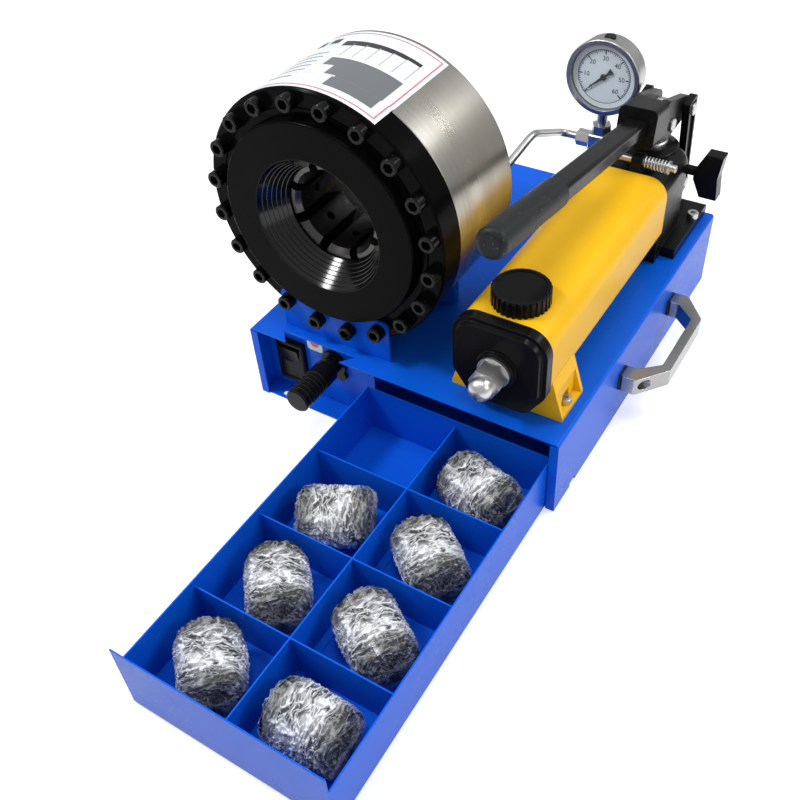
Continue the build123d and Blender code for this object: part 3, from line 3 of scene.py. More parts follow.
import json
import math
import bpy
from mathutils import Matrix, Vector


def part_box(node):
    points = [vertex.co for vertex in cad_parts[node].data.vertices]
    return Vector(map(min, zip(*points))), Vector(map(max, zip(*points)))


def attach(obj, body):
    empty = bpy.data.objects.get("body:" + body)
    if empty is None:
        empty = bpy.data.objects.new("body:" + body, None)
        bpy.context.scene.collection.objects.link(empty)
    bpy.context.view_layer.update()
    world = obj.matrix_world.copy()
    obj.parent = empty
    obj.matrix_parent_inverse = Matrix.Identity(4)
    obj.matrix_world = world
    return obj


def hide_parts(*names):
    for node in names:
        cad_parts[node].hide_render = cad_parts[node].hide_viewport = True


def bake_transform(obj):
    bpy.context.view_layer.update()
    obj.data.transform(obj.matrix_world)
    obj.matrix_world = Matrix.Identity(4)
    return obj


bl_info = {
    "name": "Hose Crimping Machine",
    "version": (1, 0, 0),
    "blender": (4, 5, 0),
    "location": "3D View > Sidebar > Crimper",
    "description": "Finishes, film wraps, dial, labels and studio for a hose crimping machine",
    "category": "Object",
}

import bmesh
import bpy
from mathutils import Matrix, Vector, noise

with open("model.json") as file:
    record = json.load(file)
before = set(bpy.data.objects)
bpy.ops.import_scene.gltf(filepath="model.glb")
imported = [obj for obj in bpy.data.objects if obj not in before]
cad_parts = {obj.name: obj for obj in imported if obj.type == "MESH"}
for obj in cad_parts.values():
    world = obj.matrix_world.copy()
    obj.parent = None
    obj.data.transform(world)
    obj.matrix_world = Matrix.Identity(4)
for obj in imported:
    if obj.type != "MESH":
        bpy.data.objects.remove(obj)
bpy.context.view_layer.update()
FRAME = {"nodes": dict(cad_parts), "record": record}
NODES = FRAME["nodes"]
SLOT_OF_NODE = {row["node"]: row["material_slot"] for row in FRAME["record"]["subparts"]}

CYLINDER_LOW, CYLINDER_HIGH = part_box("cylinder_body")
FLANGE_LOW, FLANGE_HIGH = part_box("front_flange")
HEAD_CENTRE = (CYLINDER_LOW + CYLINDER_HIGH) / 2
CYLINDER_RADIUS = (CYLINDER_HIGH.x - CYLINDER_LOW.x) / 2
FLANGE_RADIUS = (FLANGE_HIGH.z - FLANGE_LOW.z) / 2
MOUTH_RADIUS = 0.0768           # of the cover's stepped mouth, where its face begins
TURN = 2 * math.pi
FLOOR_REACH = 1.8               # from the middle of the floor to its edge
LAMPS = (                       # name, place, width in metres, watts
    ("key_lamp", (-1.05, -0.75, 1.65), 0.36, 20),
    ("window_lamp", (1.2, 0.9, 1.6), 0.7, 14),
    ("side_lamp", (1.5, -0.15, 1.0), 0.5, 5),
    ("top_lamp", (0.1, -0.3, 2.1), 0.6, 9),
)
LAMP_TARGET = Vector((0, -0.1, 0.15))
GLOSS_RANGE = 0.22              # change of roughness between the bands of a turned surface


# ---------------------------------------------------------------- settings

def colour(name, description, default):
    """A colour setting with its default in linear light."""
    return bpy.props.FloatVectorProperty(name=name, description=description, subtype="COLOR",
                                         size=3, min=0, max=1, default=default)


def length(name, description, default):
    """A length setting in metres."""
    return bpy.props.FloatProperty(name=name, description=description, default=default, min=0,
                                   unit="LENGTH", precision=4)


def share(name, description, default):
    """A setting from 0 to 1."""
    return bpy.props.FloatProperty(name=name, description=description, default=default, min=0,
                                   max=1, subtype="FACTOR")


def angle(name, description, default):
    """An angle setting, given in degrees."""
    return bpy.props.FloatProperty(name=name, description=description,
                                   default=math.radians(default), unit="ROTATION")


def count(name, description, default):
    """A whole number of at least one."""
    return bpy.props.IntProperty(name=name, description=description, default=default, min=1)


class FinishSettings(bpy.types.PropertyGroup):
    """Colours and glosses of the painted, plated and moulded surfaces."""

    blue: colour("Cabinet blue", "Powder coat on the cabinet and drawer", (0.003, 0.098, 0.64))
    yellow: colour("Tank yellow", "Enamel on the oil tank and its foot", (0.80, 0.45, 0.013))
    black_steel: colour("Black oxide", "Oiled black oxide on the head", (0.0030, 0.0030, 0.0032))
    bare_steel: colour("Turned steel", "Bright turned steel of the cylinder", (0.50, 0.485, 0.445))
    plating: colour("Zinc plating", "Pins, nuts, pipe and latch", (0.56, 0.56, 0.55))
    casting: colour("Cast aluminium", "Carrying handles", (0.40, 0.40, 0.395))
    black_enamel: colour("Black enamel", "Pump block, lever and links", (0.0050, 0.0050, 0.0054))
    moulding: colour("Black moulding", "Caps, knob and switch", (0.0050, 0.0050, 0.0054))
    rubber: colour("Grip rubber", "Lever grip", (0.011, 0.0135, 0.0145))
    paper: colour("Label white", "Film of the blank labels", (0.70, 0.74, 0.77))


class FilmSettings(bpy.types.PropertyGroup):
    """The crumpled plastic film round each stored die set."""

    half_length: length("Half length", "From the middle of a bundle to its end", 0.0360)
    radius: length("Radius", "Of the film where it lies tight on the dies", 0.0304)
    lumps: length("Lumps", "Height of the loose bulges", 0.0052)
    folds: length("Folds", "Height of the creases", 0.0022)
    gather: length("Gather", "How far the bunched ends stand out", 0.0075)
    squareness: share("Squareness", "Roundness of the bundle's ends, 1 is a ball", 0.26)
    clearance: length("Clearance", "From the tray's floor", 0.0001)
    opacity: share("Opacity", "How much a flat piece of film hides", 0.04)
    # These two make creases and doubled patches whiter: real creased and doubled film, and painted
    # reflection of light glinting off them.
    crease_and_glint_opacity: share("Crease opacity", "How much more a crease hides", 0.85)
    cloud_and_sheen_opacity: share("Cloud opacity", "How much more a doubled patch hides", 0.50)


class LabelSettings(bpy.types.PropertyGroup):
    """The blank information sheet on the head and the small plate on the panel."""

    first_angle: angle("First angle", "Where the sheet starts, from +X round the head", 60)
    last_angle: angle("Last angle", "Where the sheet ends", 141)
    front_margin: length("Front margin", "From the flange's face to the sheet", 0.0035)
    back_margin: length("Back margin", "From the sheet to the cylinder's back", 0.006)
    lift: length("Lift", "The sheet stands this far off the metal", 0.0003)
    border: length("Border", "From the sheet's edge to its printed line", 0.0045)
    line: length("Line", "Width of the printed line", 0.0012)
    plate_width: length("Plate width", "Of the small plate on the panel", 0.022)
    plate_height: length("Plate height", "Of the small plate on the panel", 0.024)
    plate_thickness: length("Plate thickness", "Of the small plate on the panel", 0.0008)
    plate_corner: length("Plate corner", "Radius of the plate's corners", 0.004)
    plate_from_left: length("Plate from left", "From the cabinet's left side", 0.0737)
    plate_from_floor: length("Plate from floor", "Height of the plate's middle", 0.0883)
    disc_radius: length("Disc radius", "Of the red disc on the plate", 0.0062)


class SpringSettings(bpy.types.PropertyGroup):
    """The wound spring on the latch rod."""

    wire: length("Wire radius", "Half the wire's thickness", 0.0011)
    coils: count("Coils", "Turns of the spring", 7)


class DialSettings(bpy.types.PropertyGroup):
    """The gauge's printed scale."""

    start: angle("Start", "Angle of the scale's zero, from +X", 225)
    sweep: angle("Sweep", "Angle from zero to full scale", 270)
    steps: count("Steps", "Small divisions on the scale", 60)
    numerals: count("Numerals", "Numbered intervals", 6)
    full_scale: count("Full scale", "Value at the scale's end", 60)
    numeral_height: length("Numeral height", "Height of the figures", 0.0058)


class StudioSettings(bpy.types.PropertyGroup):
    """Floor, lamps and camera."""

    floor: colour("Floor", "Colour of the floor and backdrop", (0.82, 0.82, 0.82))
    floor_glow: share("Floor glow", "Added where the floor is seen, so that it looks white", 0.40)
    ambient: bpy.props.FloatProperty(name="Ambient", description="Strength of the even light",
                                     default=0.62, min=0)
    lens: bpy.props.FloatProperty(name="Lens", description="Focal length on a 36 mm sensor",
                                  default=42.83, unit="CAMERA")
    place: bpy.props.FloatVectorProperty(name="Camera place", description="Where the camera stands",
                                         size=3, subtype="TRANSLATION",
                                         default=(0.44475, -0.85894, 0.81456))
    turn: bpy.props.FloatVectorProperty(name="Camera turn", description="How the camera is turned",
                                        size=3, subtype="EULER",
                                        default=tuple(math.radians(turn) for turn
                                                      in (45.904, 3.224, 31.870)))


# ---------------------------------------------------------------- shader node groups

def node(tree, kind, at, **settings):
    """A new node with its sockets or attributes set by name."""
    made = tree.nodes.new(kind)
    made.location = at
    for name, value in settings.items():
        label = name.replace("_", " ").title() if name[0].islower() else name
        if hasattr(made, name):
            setattr(made, name, value)
        else:
            made.inputs[label].default_value = value
    return made


def new_group(name, inputs, outputs):
    """An empty shader node group with float or vector inputs and the outputs given."""
    group = bpy.data.node_groups.new(name, "ShaderNodeTree")
    kinds = {"v": "NodeSocketVector", "f": "NodeSocketFloat"}
    for label, kind, default in inputs:
        socket = group.interface.new_socket(label, in_out="INPUT", socket_type=kinds[kind])
        if default is not None:
            socket.default_value = default
    for label, kind in outputs:
        group.interface.new_socket(label, in_out="OUTPUT", socket_type=kinds[kind])
    way_in = node(group, "NodeGroupInput", (-900, 0))
    way_out = node(group, "NodeGroupOutput", (700, 0))
    return group, way_in, way_out


def join(tree, value, socket):
    """Links a socket to another one, or sets a plain value on it."""
    if isinstance(value, bpy.types.NodeSocket):
        tree.links.new(value, socket)
    else:
        socket.default_value = value


def maths(tree, operation, *sides, at=(0, 0), clamp=False):
    """A Math node; each side is a socket or a number."""
    made = node(tree, "ShaderNodeMath", at, operation=operation)
    made.use_clamp = clamp
    for socket, value in zip(made.inputs, sides):
        join(tree, value, socket)
    return made.outputs[0]


def noise_value(tree, vector, scale, detail, at):
    """A Noise Texture's value on a vector; scale is a socket or a number."""
    made = node(tree, "ShaderNodeTexNoise", at, detail=detail)
    tree.links.new(vector, made.inputs["Vector"])
    join(tree, scale, made.inputs["Scale"])
    return made.outputs["Fac"]


def spread(tree, value, low, high, at=(0, 0)):
    """Stretches a value so that low becomes 0 and high becomes 1."""
    made = node(tree, "ShaderNodeMapRange", at)
    made.clamp = True
    tree.links.new(value, made.inputs["Value"])
    for label, bound in (("From Min", low), ("From Max", high)):
        made.inputs[label].default_value = bound
    return made.outputs["Result"]


def build_skin_group():
    """Orange peel of paint or a casting's skin, with a slow change of gloss."""
    group, way_in, way_out = new_group(
        "Skin", [("Vector", "v", None), ("Grain", "f", 300.0), ("Gloss change", "f", 0.1),
                 ("Roughness", "f", 0.3)], [("Height", "f"), ("Roughness", "f"), ("Patch", "f")])
    peel = noise_value(group, way_in.outputs["Vector"], way_in.outputs["Grain"], 2.0, (-500, 200))
    patch = noise_value(group, way_in.outputs["Vector"], 9.0, 4.0, (-500, -200))
    centred = maths(group, "SUBTRACT", patch, 0.5, at=(-250, -200))
    change = maths(group, "MULTIPLY", centred, way_in.outputs["Gloss change"], at=(0, -200))
    rough = maths(group, "ADD", change, way_in.outputs["Roughness"], at=(200, -200), clamp=True)
    group.links.new(peel, way_out.inputs["Height"])
    group.links.new(rough, way_out.inputs["Roughness"])
    group.links.new(patch, way_out.inputs["Patch"])
    return group


def build_turning_group():
    """Fine rings left by a lathe tool round the head's axis, with long smears across them."""
    group, way_in, way_out = new_group(
        "Turning Marks", [("Vector", "v", None), ("Pitch", "f", 900.0)],
        [("Height", "f"), ("Band", "f"), ("Smear", "f"), ("Radius", "f")])
    split = node(group, "ShaderNodeSeparateXYZ", (-700, 0))
    group.links.new(way_in.outputs["Vector"], split.inputs[0])
    squares = [maths(group, "POWER", split.outputs[axis], 2.0, at=(-500, 200 - 150 * index))
               for index, axis in enumerate(("X", "Z"))]
    radius = maths(group, "SQRT", maths(group, "ADD", *squares, at=(-350, 150)), at=(-200, 150))
    along = node(group, "ShaderNodeCombineXYZ", (0, 150))
    group.links.new(radius, along.inputs["X"])
    group.links.new(split.outputs["Y"], along.inputs["Y"])
    fine = noise_value(group, along.outputs[0], way_in.outputs["Pitch"], 2.0, (200, 250))
    steps = noise_value(group, along.outputs[0], 34.0, 0.0, (200, 50))
    snapped = maths(group, "SNAP", steps, 0.06, at=(350, 50))
    blurred = noise_value(group, along.outputs[0], 240.0, 3.0, (200, -50))
    band = maths(group, "ADD", maths(group, "MULTIPLY", snapped, 0.7, at=(500, 50)),
                 maths(group, "MULTIPLY", blurred, 0.3, at=(400, -50)), at=(600, 0))
    stretched = node(group, "ShaderNodeVectorMath", (0, -200), operation="MULTIPLY")
    group.links.new(way_in.outputs["Vector"], stretched.inputs[0])
    stretched.inputs[1].default_value = (9.0, 3.0, 9.0)
    smear = noise_value(group, stretched.outputs[0], 2.2, 5.0, (200, -200))
    for label, value in (("Height", fine), ("Band", band), ("Smear", smear), ("Radius", radius)):
        group.links.new(value, way_out.inputs[label])
    return group


def build_marks_group():
    """Broad stains and fine specks of oil and dust, as masks."""
    group, way_in, way_out = new_group(
        "Handling Marks", [("Vector", "v", None), ("Scale", "f", 18.0)],
        [("Mask", "f"), ("Specks", "f")])
    broad = noise_value(group, way_in.outputs["Vector"], way_in.outputs["Scale"], 6.0, (-500, 150))
    specks = noise_value(group, way_in.outputs["Vector"], 420.0, 1.0, (-500, -150))
    group.links.new(spread(group, broad, 0.46, 0.72, (-200, 150)), way_out.inputs["Mask"])
    group.links.new(spread(group, specks, 0.70, 0.76, (-200, -150)), way_out.inputs["Specks"])
    return group


def build_film_group():
    """Fine creases of stretched film, mostly across the bundle, with cloudy doubled patches
    that fade towards its ends. The vector runs along the bundle from its middle, then round it."""
    group, way_in, way_out = new_group(
        "Film Creases", [("Vector", "v", None), ("Half length", "f", 0.06)],
        [("Height", "f"), ("Crease", "f"), ("Cloud", "f")])
    warp = node(group, "ShaderNodeTexNoise", (-800, -200), detail=2.0, scale=45.0)
    group.links.new(way_in.outputs["Vector"], warp.inputs["Vector"])
    moved = node(group, "ShaderNodeVectorMath", (-600, 0), operation="MULTIPLY_ADD")
    moved.inputs[1].default_value = (0.016, 0.016, 0.0)
    group.links.new(warp.outputs["Color"], moved.inputs[0])
    group.links.new(way_in.outputs["Vector"], moved.inputs[2])
    lines = None
    for index, (turn, stretch, scale, width) in enumerate((
            (0.0, (1.0, 0.24, 1.0), 165.0, 0.050), (0.8, (1.0, 0.30, 1.0), 105.0, 0.034),
            (-0.9, (1.0, 0.26, 1.0), 90.0, 0.030), (0.3, (1.0, 0.5, 1.0), 260.0, 0.036))):
        place = node(group, "ShaderNodeMapping", (-400, 300 - 250 * index))
        place.inputs["Rotation"].default_value = (0, 0, turn)
        place.inputs["Scale"].default_value = stretch
        place.inputs["Location"].default_value = (index * 1.7, index * 0.9, 0)
        group.links.new(moved.outputs[0], place.inputs["Vector"])
        value = noise_value(group, place.outputs[0], scale, 0.6, (-200, 300 - 250 * index))
        away = maths(group, "ABSOLUTE", maths(group, "SUBTRACT", value, 0.5))
        ridge = spread(group, away, width, 0.0, (100, 300 - 250 * index))
        lines = ridge if lines is None else maths(group, "MAXIMUM", lines, ridge)
    cloud = noise_value(group, moved.outputs[0], 50.0, 4.0, (0, -600))
    patches = spread(group, cloud, 0.41, 0.62, (200, -600))
    split = node(group, "ShaderNodeSeparateXYZ", (-600, -800))
    group.links.new(way_in.outputs["Vector"], split.inputs[0])
    apart = maths(group, "DIVIDE", maths(group, "ABSOLUTE", split.outputs["X"], at=(-400, -800)),
                  way_in.outputs["Half length"], at=(-200, -800))
    ragged = maths(group, "MULTIPLY_ADD", cloud, 0.9, apart, at=(0, -800))
    middle = spread(group, ragged, 1.22, 0.92, (200, -800))
    fading = maths(group, "MULTIPLY_ADD", middle, 0.7, 0.3, at=(400, -700))
    # Painted reflection as well as real film: where Crease and Cloud are high the film turns whiter
    # and more opaque, for creased and doubled film and for light glinting off the creases.
    group.links.new(lines, way_out.inputs["Height"])
    group.links.new(maths(group, "MULTIPLY", lines, fading, at=(550, -400)),
                    way_out.inputs["Crease"])
    group.links.new(maths(group, "MULTIPLY", patches, middle, at=(550, -600)),
                    way_out.inputs["Cloud"])
    return group


def build_edge_group():
    """Where the surface turns sharply: 1 along an edge, 0 on the flat."""
    group, way_in, way_out = new_group(
        "Edges", [("Vector", "v", None), ("Radius", "f", 0.0008)], [("Mask", "f")])
    # This mask places the painted edge highlight of skin_finish.
    soft = node(group, "ShaderNodeBevel", (-500, 100))
    soft.samples = 4
    group.links.new(way_in.outputs["Radius"], soft.inputs["Radius"])
    flat = node(group, "ShaderNodeNewGeometry", (-500, -100))
    dot = node(group, "ShaderNodeVectorMath", (-250, 0), operation="DOT_PRODUCT")
    group.links.new(soft.outputs[0], dot.inputs[0])
    group.links.new(flat.outputs["Normal"], dot.inputs[1])
    group.links.new(spread(group, dot.outputs["Value"], 0.985, 0.80), way_out.inputs["Mask"])
    return group


def groups():
    """The shared shader groups, built once."""
    if "Skin" not in bpy.data.node_groups:
        build_skin_group()
        build_turning_group()
        build_marks_group()
        build_film_group()
        build_edge_group()
    return bpy.data.node_groups


# ---------------------------------------------------------------- materials

class Finish:
    """A material with one Principled BSDF and short ways to feed it."""

    def __init__(self, name, base=(0.8, 0.8, 0.8), **sockets):
        self.material = bpy.data.materials.new(name)
        self.material.use_nodes = True
        self.tree = self.material.node_tree
        self.tree.nodes.clear()
        self.out = node(self.tree, "ShaderNodeOutputMaterial", (700, 0))
        self.shader = node(self.tree, "ShaderNodeBsdfPrincipled", (400, 0))
        self.tree.links.new(self.shader.outputs[0], self.out.inputs["Surface"])
        self.shader.inputs["Base Color"].default_value = (*base, 1)
        for label, value in sockets.items():
            self.shader.inputs[label.replace("_", " ")].default_value = value
        self.place = node(self.tree, "ShaderNodeTexCoord", (-1000, 0)).outputs["Object"]

    def group(self, name, vector=None, at=(-600, 0), **inputs):
        """A shared group placed here with its own values."""
        made = node(self.tree, "ShaderNodeGroup", at)
        made.node_tree = groups()[name]
        self.tree.links.new(vector or self.place, made.inputs["Vector"])
        for label, value in inputs.items():
            made.inputs[label.replace("_", " ")].default_value = value
        return made.outputs

    def feed(self, label, value):
        """Links a socket into the shader."""
        self.tree.links.new(value, self.shader.inputs[label])

    def mix(self, factor, first, second, at=(100, 200)):
        """A colour mix; each side is a socket or a colour."""
        made = node(self.tree, "ShaderNodeMix", at, data_type="RGBA")
        self.tree.links.new(factor, made.inputs["Factor"])
        for socket, value in ((made.inputs[6], first), (made.inputs[7], second)):
            join(self.tree, value if isinstance(value, bpy.types.NodeSocket) else (*value, 1),
                 socket)
        return made.outputs[2]

    def bump(self, height, strength, distance, rounding=0.0):
        """A Bump node into Normal, on edges rounded by this many metres."""
        made = node(self.tree, "ShaderNodeBump", (150, -300))
        made.inputs["Strength"].default_value = strength
        made.inputs["Distance"].default_value = distance
        self.tree.links.new(height, made.inputs["Height"])
        if rounding:
            soft = node(self.tree, "ShaderNodeBevel", (-100, -450))
            soft.samples = 4
            soft.inputs["Radius"].default_value = rounding
            self.tree.links.new(soft.outputs[0], made.inputs["Normal"])
        self.feed("Normal", made.outputs[0])

    def centred(self, centre):
        """Object coordinates counted from a point."""
        made = node(self.tree, "ShaderNodeMapping", (-800, -200), vector_type="POINT")
        made.inputs["Location"].default_value = tuple(-c for c in centre)
        self.tree.links.new(self.place, made.inputs["Vector"])
        return made.outputs[0]


def darker(base, factor):
    """A colour times a factor, no brighter than 1."""
    return tuple(min(1.0, c * factor) for c in base)


def skin_finish(name, base, grain, bump, roughness, change=0.12, rounding=0.0006, worn=None,
                edge=None, **sockets):
    """Paint, enamel, moulding or a bare casting: fine skin, changing gloss and handling marks."""
    finish = Finish(name, base, **sockets)
    skin = finish.group("Skin", at=(-600, 0), Grain=grain, Gloss_change=change, Roughness=roughness)
    marks = finish.group("Handling Marks", at=(-600, -300))
    tint = finish.mix(skin["Patch"], darker(base, 0.90), darker(base, 1.10), (-100, 200))
    specks_and_edge_highlight = finish.mix(marks["Specks"], tint, worn or darker(base, 1.15), (150, 200))
    # Painted highlight: where an edge colour is given, a lighter colour is laid along sharp edges,
    # standing in for light caught on their rounding.
    if edge:
        edges = finish.group("Edges", at=(-600, -500), Radius=0.0009)
        specks_and_edge_highlight = finish.mix(edges["Mask"], specks_and_edge_highlight, edge, (250, 300))
    finish.feed("Base Color", specks_and_edge_highlight)
    finish.feed("Roughness", skin["Roughness"])
    finish.bump(skin["Height"], bump, 0.0004, rounding)
    return finish.material


def turned_finish(name, base, pitch, bump, roughness, centre, stain=None, polished=0.0,
                  **sockets):
    """Turned metal: rings round the head's axis in bands, with long smears.
    Within the polished radius it carries a coat of oil."""
    contrast, oil_weight, oil_edge = 0.3, 0.8, 0.001
    finish = Finish(name, base, **sockets)
    turning = finish.group("Turning Marks", finish.centred(centre), (-600, 0), Pitch=pitch)
    marks = finish.group("Handling Marks", at=(-600, -300), Scale=10.0)
    tint = finish.mix(turning["Smear"], darker(base, 1 - contrast), darker(base, 1 + contrast / 2),
                      (-300, 200))
    shaded = finish.mix(spread(finish.tree, turning["Band"], 0.30, 0.60, (-300, 0)), tint,
                        darker(base, 1 - contrast), (-100, 200))
    stained = maths(finish.tree, "MULTIPLY", marks["Mask"], 0.6, at=(-300, -300))
    finish.feed("Base Color", finish.mix(stained, shaded, stain or darker(base, 0.8), (100, 200)))
    finish.feed("Roughness", maths(finish.tree, "MULTIPLY_ADD", turning["Band"], GLOSS_RANGE,
                                   roughness - GLOSS_RANGE / 2, at=(-100, 0)))
    finish.bump(turning["Height"], bump, 0.0003, 0.0006)
    if polished:
        inside = spread(finish.tree, turning["Radius"], polished + oil_edge, polished - oil_edge,
                        (-100, -600))
        finish.feed("Coat Weight", maths(finish.tree, "MULTIPLY", inside, oil_weight,
                                         at=(100, -600)))
    return finish.material


def clear_finish(name, base, roughness, opacity):
    """Glass or clear plastic sheet, seen through by its alpha."""
    return Finish(name, base, Roughness=roughness, Alpha=opacity, IOR=1.3).material


def finish_library(context):
    """Every finish by the record's slot name, made once."""
    if "blue powder coat" in bpy.data.materials:
        return
    look = context.scene.crimper_finish
    head = tuple(HEAD_CENTRE)
    # Every edge colour below is a painted highlight along sharp edges.
    skin_finish("blue powder coat", look.blue, grain=900, bump=0.10, roughness=0.28,
                edge=darker(look.blue, 1.7), IOR=1.2)
    skin_finish("yellow enamel", look.yellow, grain=420, bump=0.12, roughness=0.30, rounding=0.001,
                worn=darker(look.yellow, 1.1), IOR=1.2)
    skin_finish("black enamel on a casting", look.black_enamel, grain=520, bump=0.35,
                roughness=0.30, change=0.2, rounding=0.0012, worn=(0.04, 0.04, 0.04),
                edge=(0.03, 0.03, 0.032), IOR=1.22)
    skin_finish("black enamel", look.black_enamel, grain=700, bump=0.08, roughness=0.20,
                change=0.15, edge=(0.05, 0.05, 0.05), IOR=1.25)
    skin_finish("black moulding", look.moulding, grain=900, bump=0.10, roughness=0.20, change=0.1,
                rounding=0.0008, edge=(0.03, 0.03, 0.03), IOR=1.2)
    skin_finish("grip rubber", look.rubber, grain=1100, bump=0.30, roughness=0.45, change=0.1,
                rounding=0.001, worn=(0.07, 0.08, 0.09), IOR=1.3)
    skin_finish("seal rubber", look.moulding, grain=600, bump=0.12, roughness=0.6)
    skin_finish("cast aluminium", look.casting, grain=650, bump=0.22, roughness=0.25, change=0.15,
                rounding=0.0015, edge=(0.75, 0.75, 0.74), Metallic=1.0)
    skin_finish("zinc plating", look.plating, grain=800, bump=0.10, roughness=0.34, change=0.15,
                rounding=0.0004, Metallic=1.0)
    skin_finish("satin stainless", (0.46, 0.46, 0.46), grain=500, bump=0.03, roughness=0.30,
                change=0.05, rounding=0.0006, Metallic=1.0)
    skin_finish("black oxide screws", darker(look.black_steel, 0.8), grain=700, bump=0.10,
                roughness=0.20, change=0.15, rounding=0.0005, worn=(0.03, 0.03, 0.03),
                edge=(0.04, 0.04, 0.04), IOR=1.25)
    turned_finish("black oxide", look.black_steel, pitch=1500, bump=0.08, roughness=0.17,
                  centre=head, stain=darker(look.black_steel, 1.6), polished=MOUTH_RADIUS,
                  IOR=1.10, Coat_Roughness=0.15)
    turned_finish("turned steel", look.bare_steel, pitch=2600, bump=0.16, roughness=0.30,
                  centre=head, stain=(0.40, 0.365, 0.29), Metallic=1.0)
    turned_finish("dark die steel", (0.11, 0.108, 0.104), pitch=1800, bump=0.12, roughness=0.24,
                  centre=head, Metallic=0.9)
    skin_finish("oiled die steel", (0.055, 0.055, 0.057), grain=700, bump=0.1, roughness=0.30,
                change=0.25, rounding=0.0005, edge=(0.2, 0.2, 0.2), Metallic=0.9)
    skin_finish("dial face", (0.72, 0.80, 0.86), grain=600, bump=0.02, roughness=0.5)
    skin_finish("pointer enamel", (0.01, 0.01, 0.01), grain=600, bump=0.02, roughness=0.4)
    clear_finish("clear glass", (0.92, 0.96, 0.98), roughness=0.03, opacity=0.03)


FINISH_OF_SLOT = {
    "blue_paint": "blue powder coat", "blackened_steel": "black oxide",
    "black_bolts": "black oxide screws", "turned_steel": "turned steel",
    "dark_steel": "dark die steel", "die_steel": "oiled die steel",
    "seal_rubber": "seal rubber", "grip_rubber": "grip rubber",
    "yellow_paint": "yellow enamel", "black_plastic": "black moulding",
    "black_casting": "black enamel on a casting", "black_paint": "black enamel",
    "zinc_steel": "zinc plating", "gauge_steel": "satin stainless", "dial_white": "dial face",
    "clear_glass": "clear glass", "pointer_black": "pointer enamel",
    "cast_aluminium": "cast aluminium",
}


def dress(*names):
    """Gives CAD nodes the finish of their slot in place of the plain one."""
    for name in names:
        slots = NODES[name].data.materials
        finish = bpy.data.materials[FINISH_OF_SLOT[SLOT_OF_NODE[name]]]
        slots.clear()
        slots.append(finish)


# ---------------------------------------------------------------- mesh helpers

def piece_from(mesh_data, name, material, body, smooth=True):
    """A finished object from a bmesh: normals out, shaded, riding on its body if it has one."""
    mesh = bpy.data.meshes.new(name)
    mesh_data.to_mesh(mesh)
    mesh_data.free()
    if smooth:
        mesh.shade_smooth()
    mesh.materials.append(bpy.data.materials[material])
    made = bpy.data.objects.new(name, mesh)
    bpy.context.scene.collection.objects.link(made)
    if body:
        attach(made, body)
    return made


def plain_finish(name, base, roughness):
    """A printed ink or a sheet of film, with a faint change of gloss."""
    if name not in bpy.data.materials:
        finish = Finish(name, base)
        skin = finish.group("Skin", Grain=400.0, Gloss_change=0.1, Roughness=roughness)
        finish.feed("Base Color", finish.mix(skin["Patch"], darker(base, 0.96), darker(base, 1.04)))
        finish.feed("Roughness", skin["Roughness"])
    return name


def edges_at(verts):
    """The edges at these vertices, each once and in the same order every run."""
    return list(dict.fromkeys(edge for vert in verts for edge in vert.link_edges))


def put_in_order(mesh_data):
    """Sorts a bmesh by place, since an extrusion's order differs from run to run."""
    for parts, place in (
            (mesh_data.verts, lambda vert: tuple(vert.co)),
            (mesh_data.edges, lambda edge: tuple(edge.verts[0].co + edge.verts[1].co)),
            (mesh_data.faces, lambda face: tuple(face.calc_center_median()))):
        rank = {part: index for index, part in enumerate(sorted(parts, key=place))}
        parts.sort(key=rank.get)


def add_slab(mesh_data, centre, size, turn=Matrix.Identity(4)):
    """A flat slab facing -Y, added to a bmesh. Size is (width, thickness, height)."""
    place = turn @ Matrix.Translation(centre) @ Matrix.Diagonal((*size, 1))
    bmesh.ops.create_cube(mesh_data, size=1, matrix=place)


def wrapped_sheet(name, angles, ys, lift, material, body, columns=48):
    """A thin sheet wrapped round the head between two angles and two places along it.
    Two of its rows lie where it comes down from the flange to the cylinder."""
    seam = (FLANGE_HIGH.y, FLANGE_HIGH.y + 0.004)
    even = 14
    places = sorted({ys[0] + (ys[1] - ys[0]) * row / even for row in range(even + 1)}
                    | {y for y in seam if ys[0] < y < ys[1]})
    rows = len(places) - 1
    sheet = bmesh.new()
    bmesh.ops.create_grid(sheet, x_segments=columns, y_segments=rows, size=0.5)
    for vert in sheet.verts:
        y = places[round((vert.co.y + 0.5) * rows)]
        angle = angles[0] + (vert.co.x + 0.5) * (angles[1] - angles[0])
        fall = min(1, max(0, (y - seam[0]) / (seam[1] - seam[0])))
        radius = FLANGE_RADIUS + (CYLINDER_RADIUS - FLANGE_RADIUS) * fall + lift
        vert.co = Vector((HEAD_CENTRE.x + radius * math.cos(angle), y,
                          HEAD_CENTRE.z + radius * math.sin(angle)))
    bmesh.ops.recalc_face_normals(sheet, faces=sheet.faces)
    if sum(f.normal.dot(f.calc_center_median() - HEAD_CENTRE) for f in sheet.faces) < 0:
        bmesh.ops.reverse_faces(sheet, faces=sheet.faces)
    return piece_from(sheet, name, material, body)


# ---------------------------------------------------------------- operators

class CRIMPER_OT_finishes(bpy.types.Operator):
    """Dress every CAD piece in its finish"""

    bl_idname = "crimper.finishes"
    bl_label = "Finishes"

    def execute(self, context):
        finish_library(context)
        dress(*NODES)
        return {"FINISHED"}


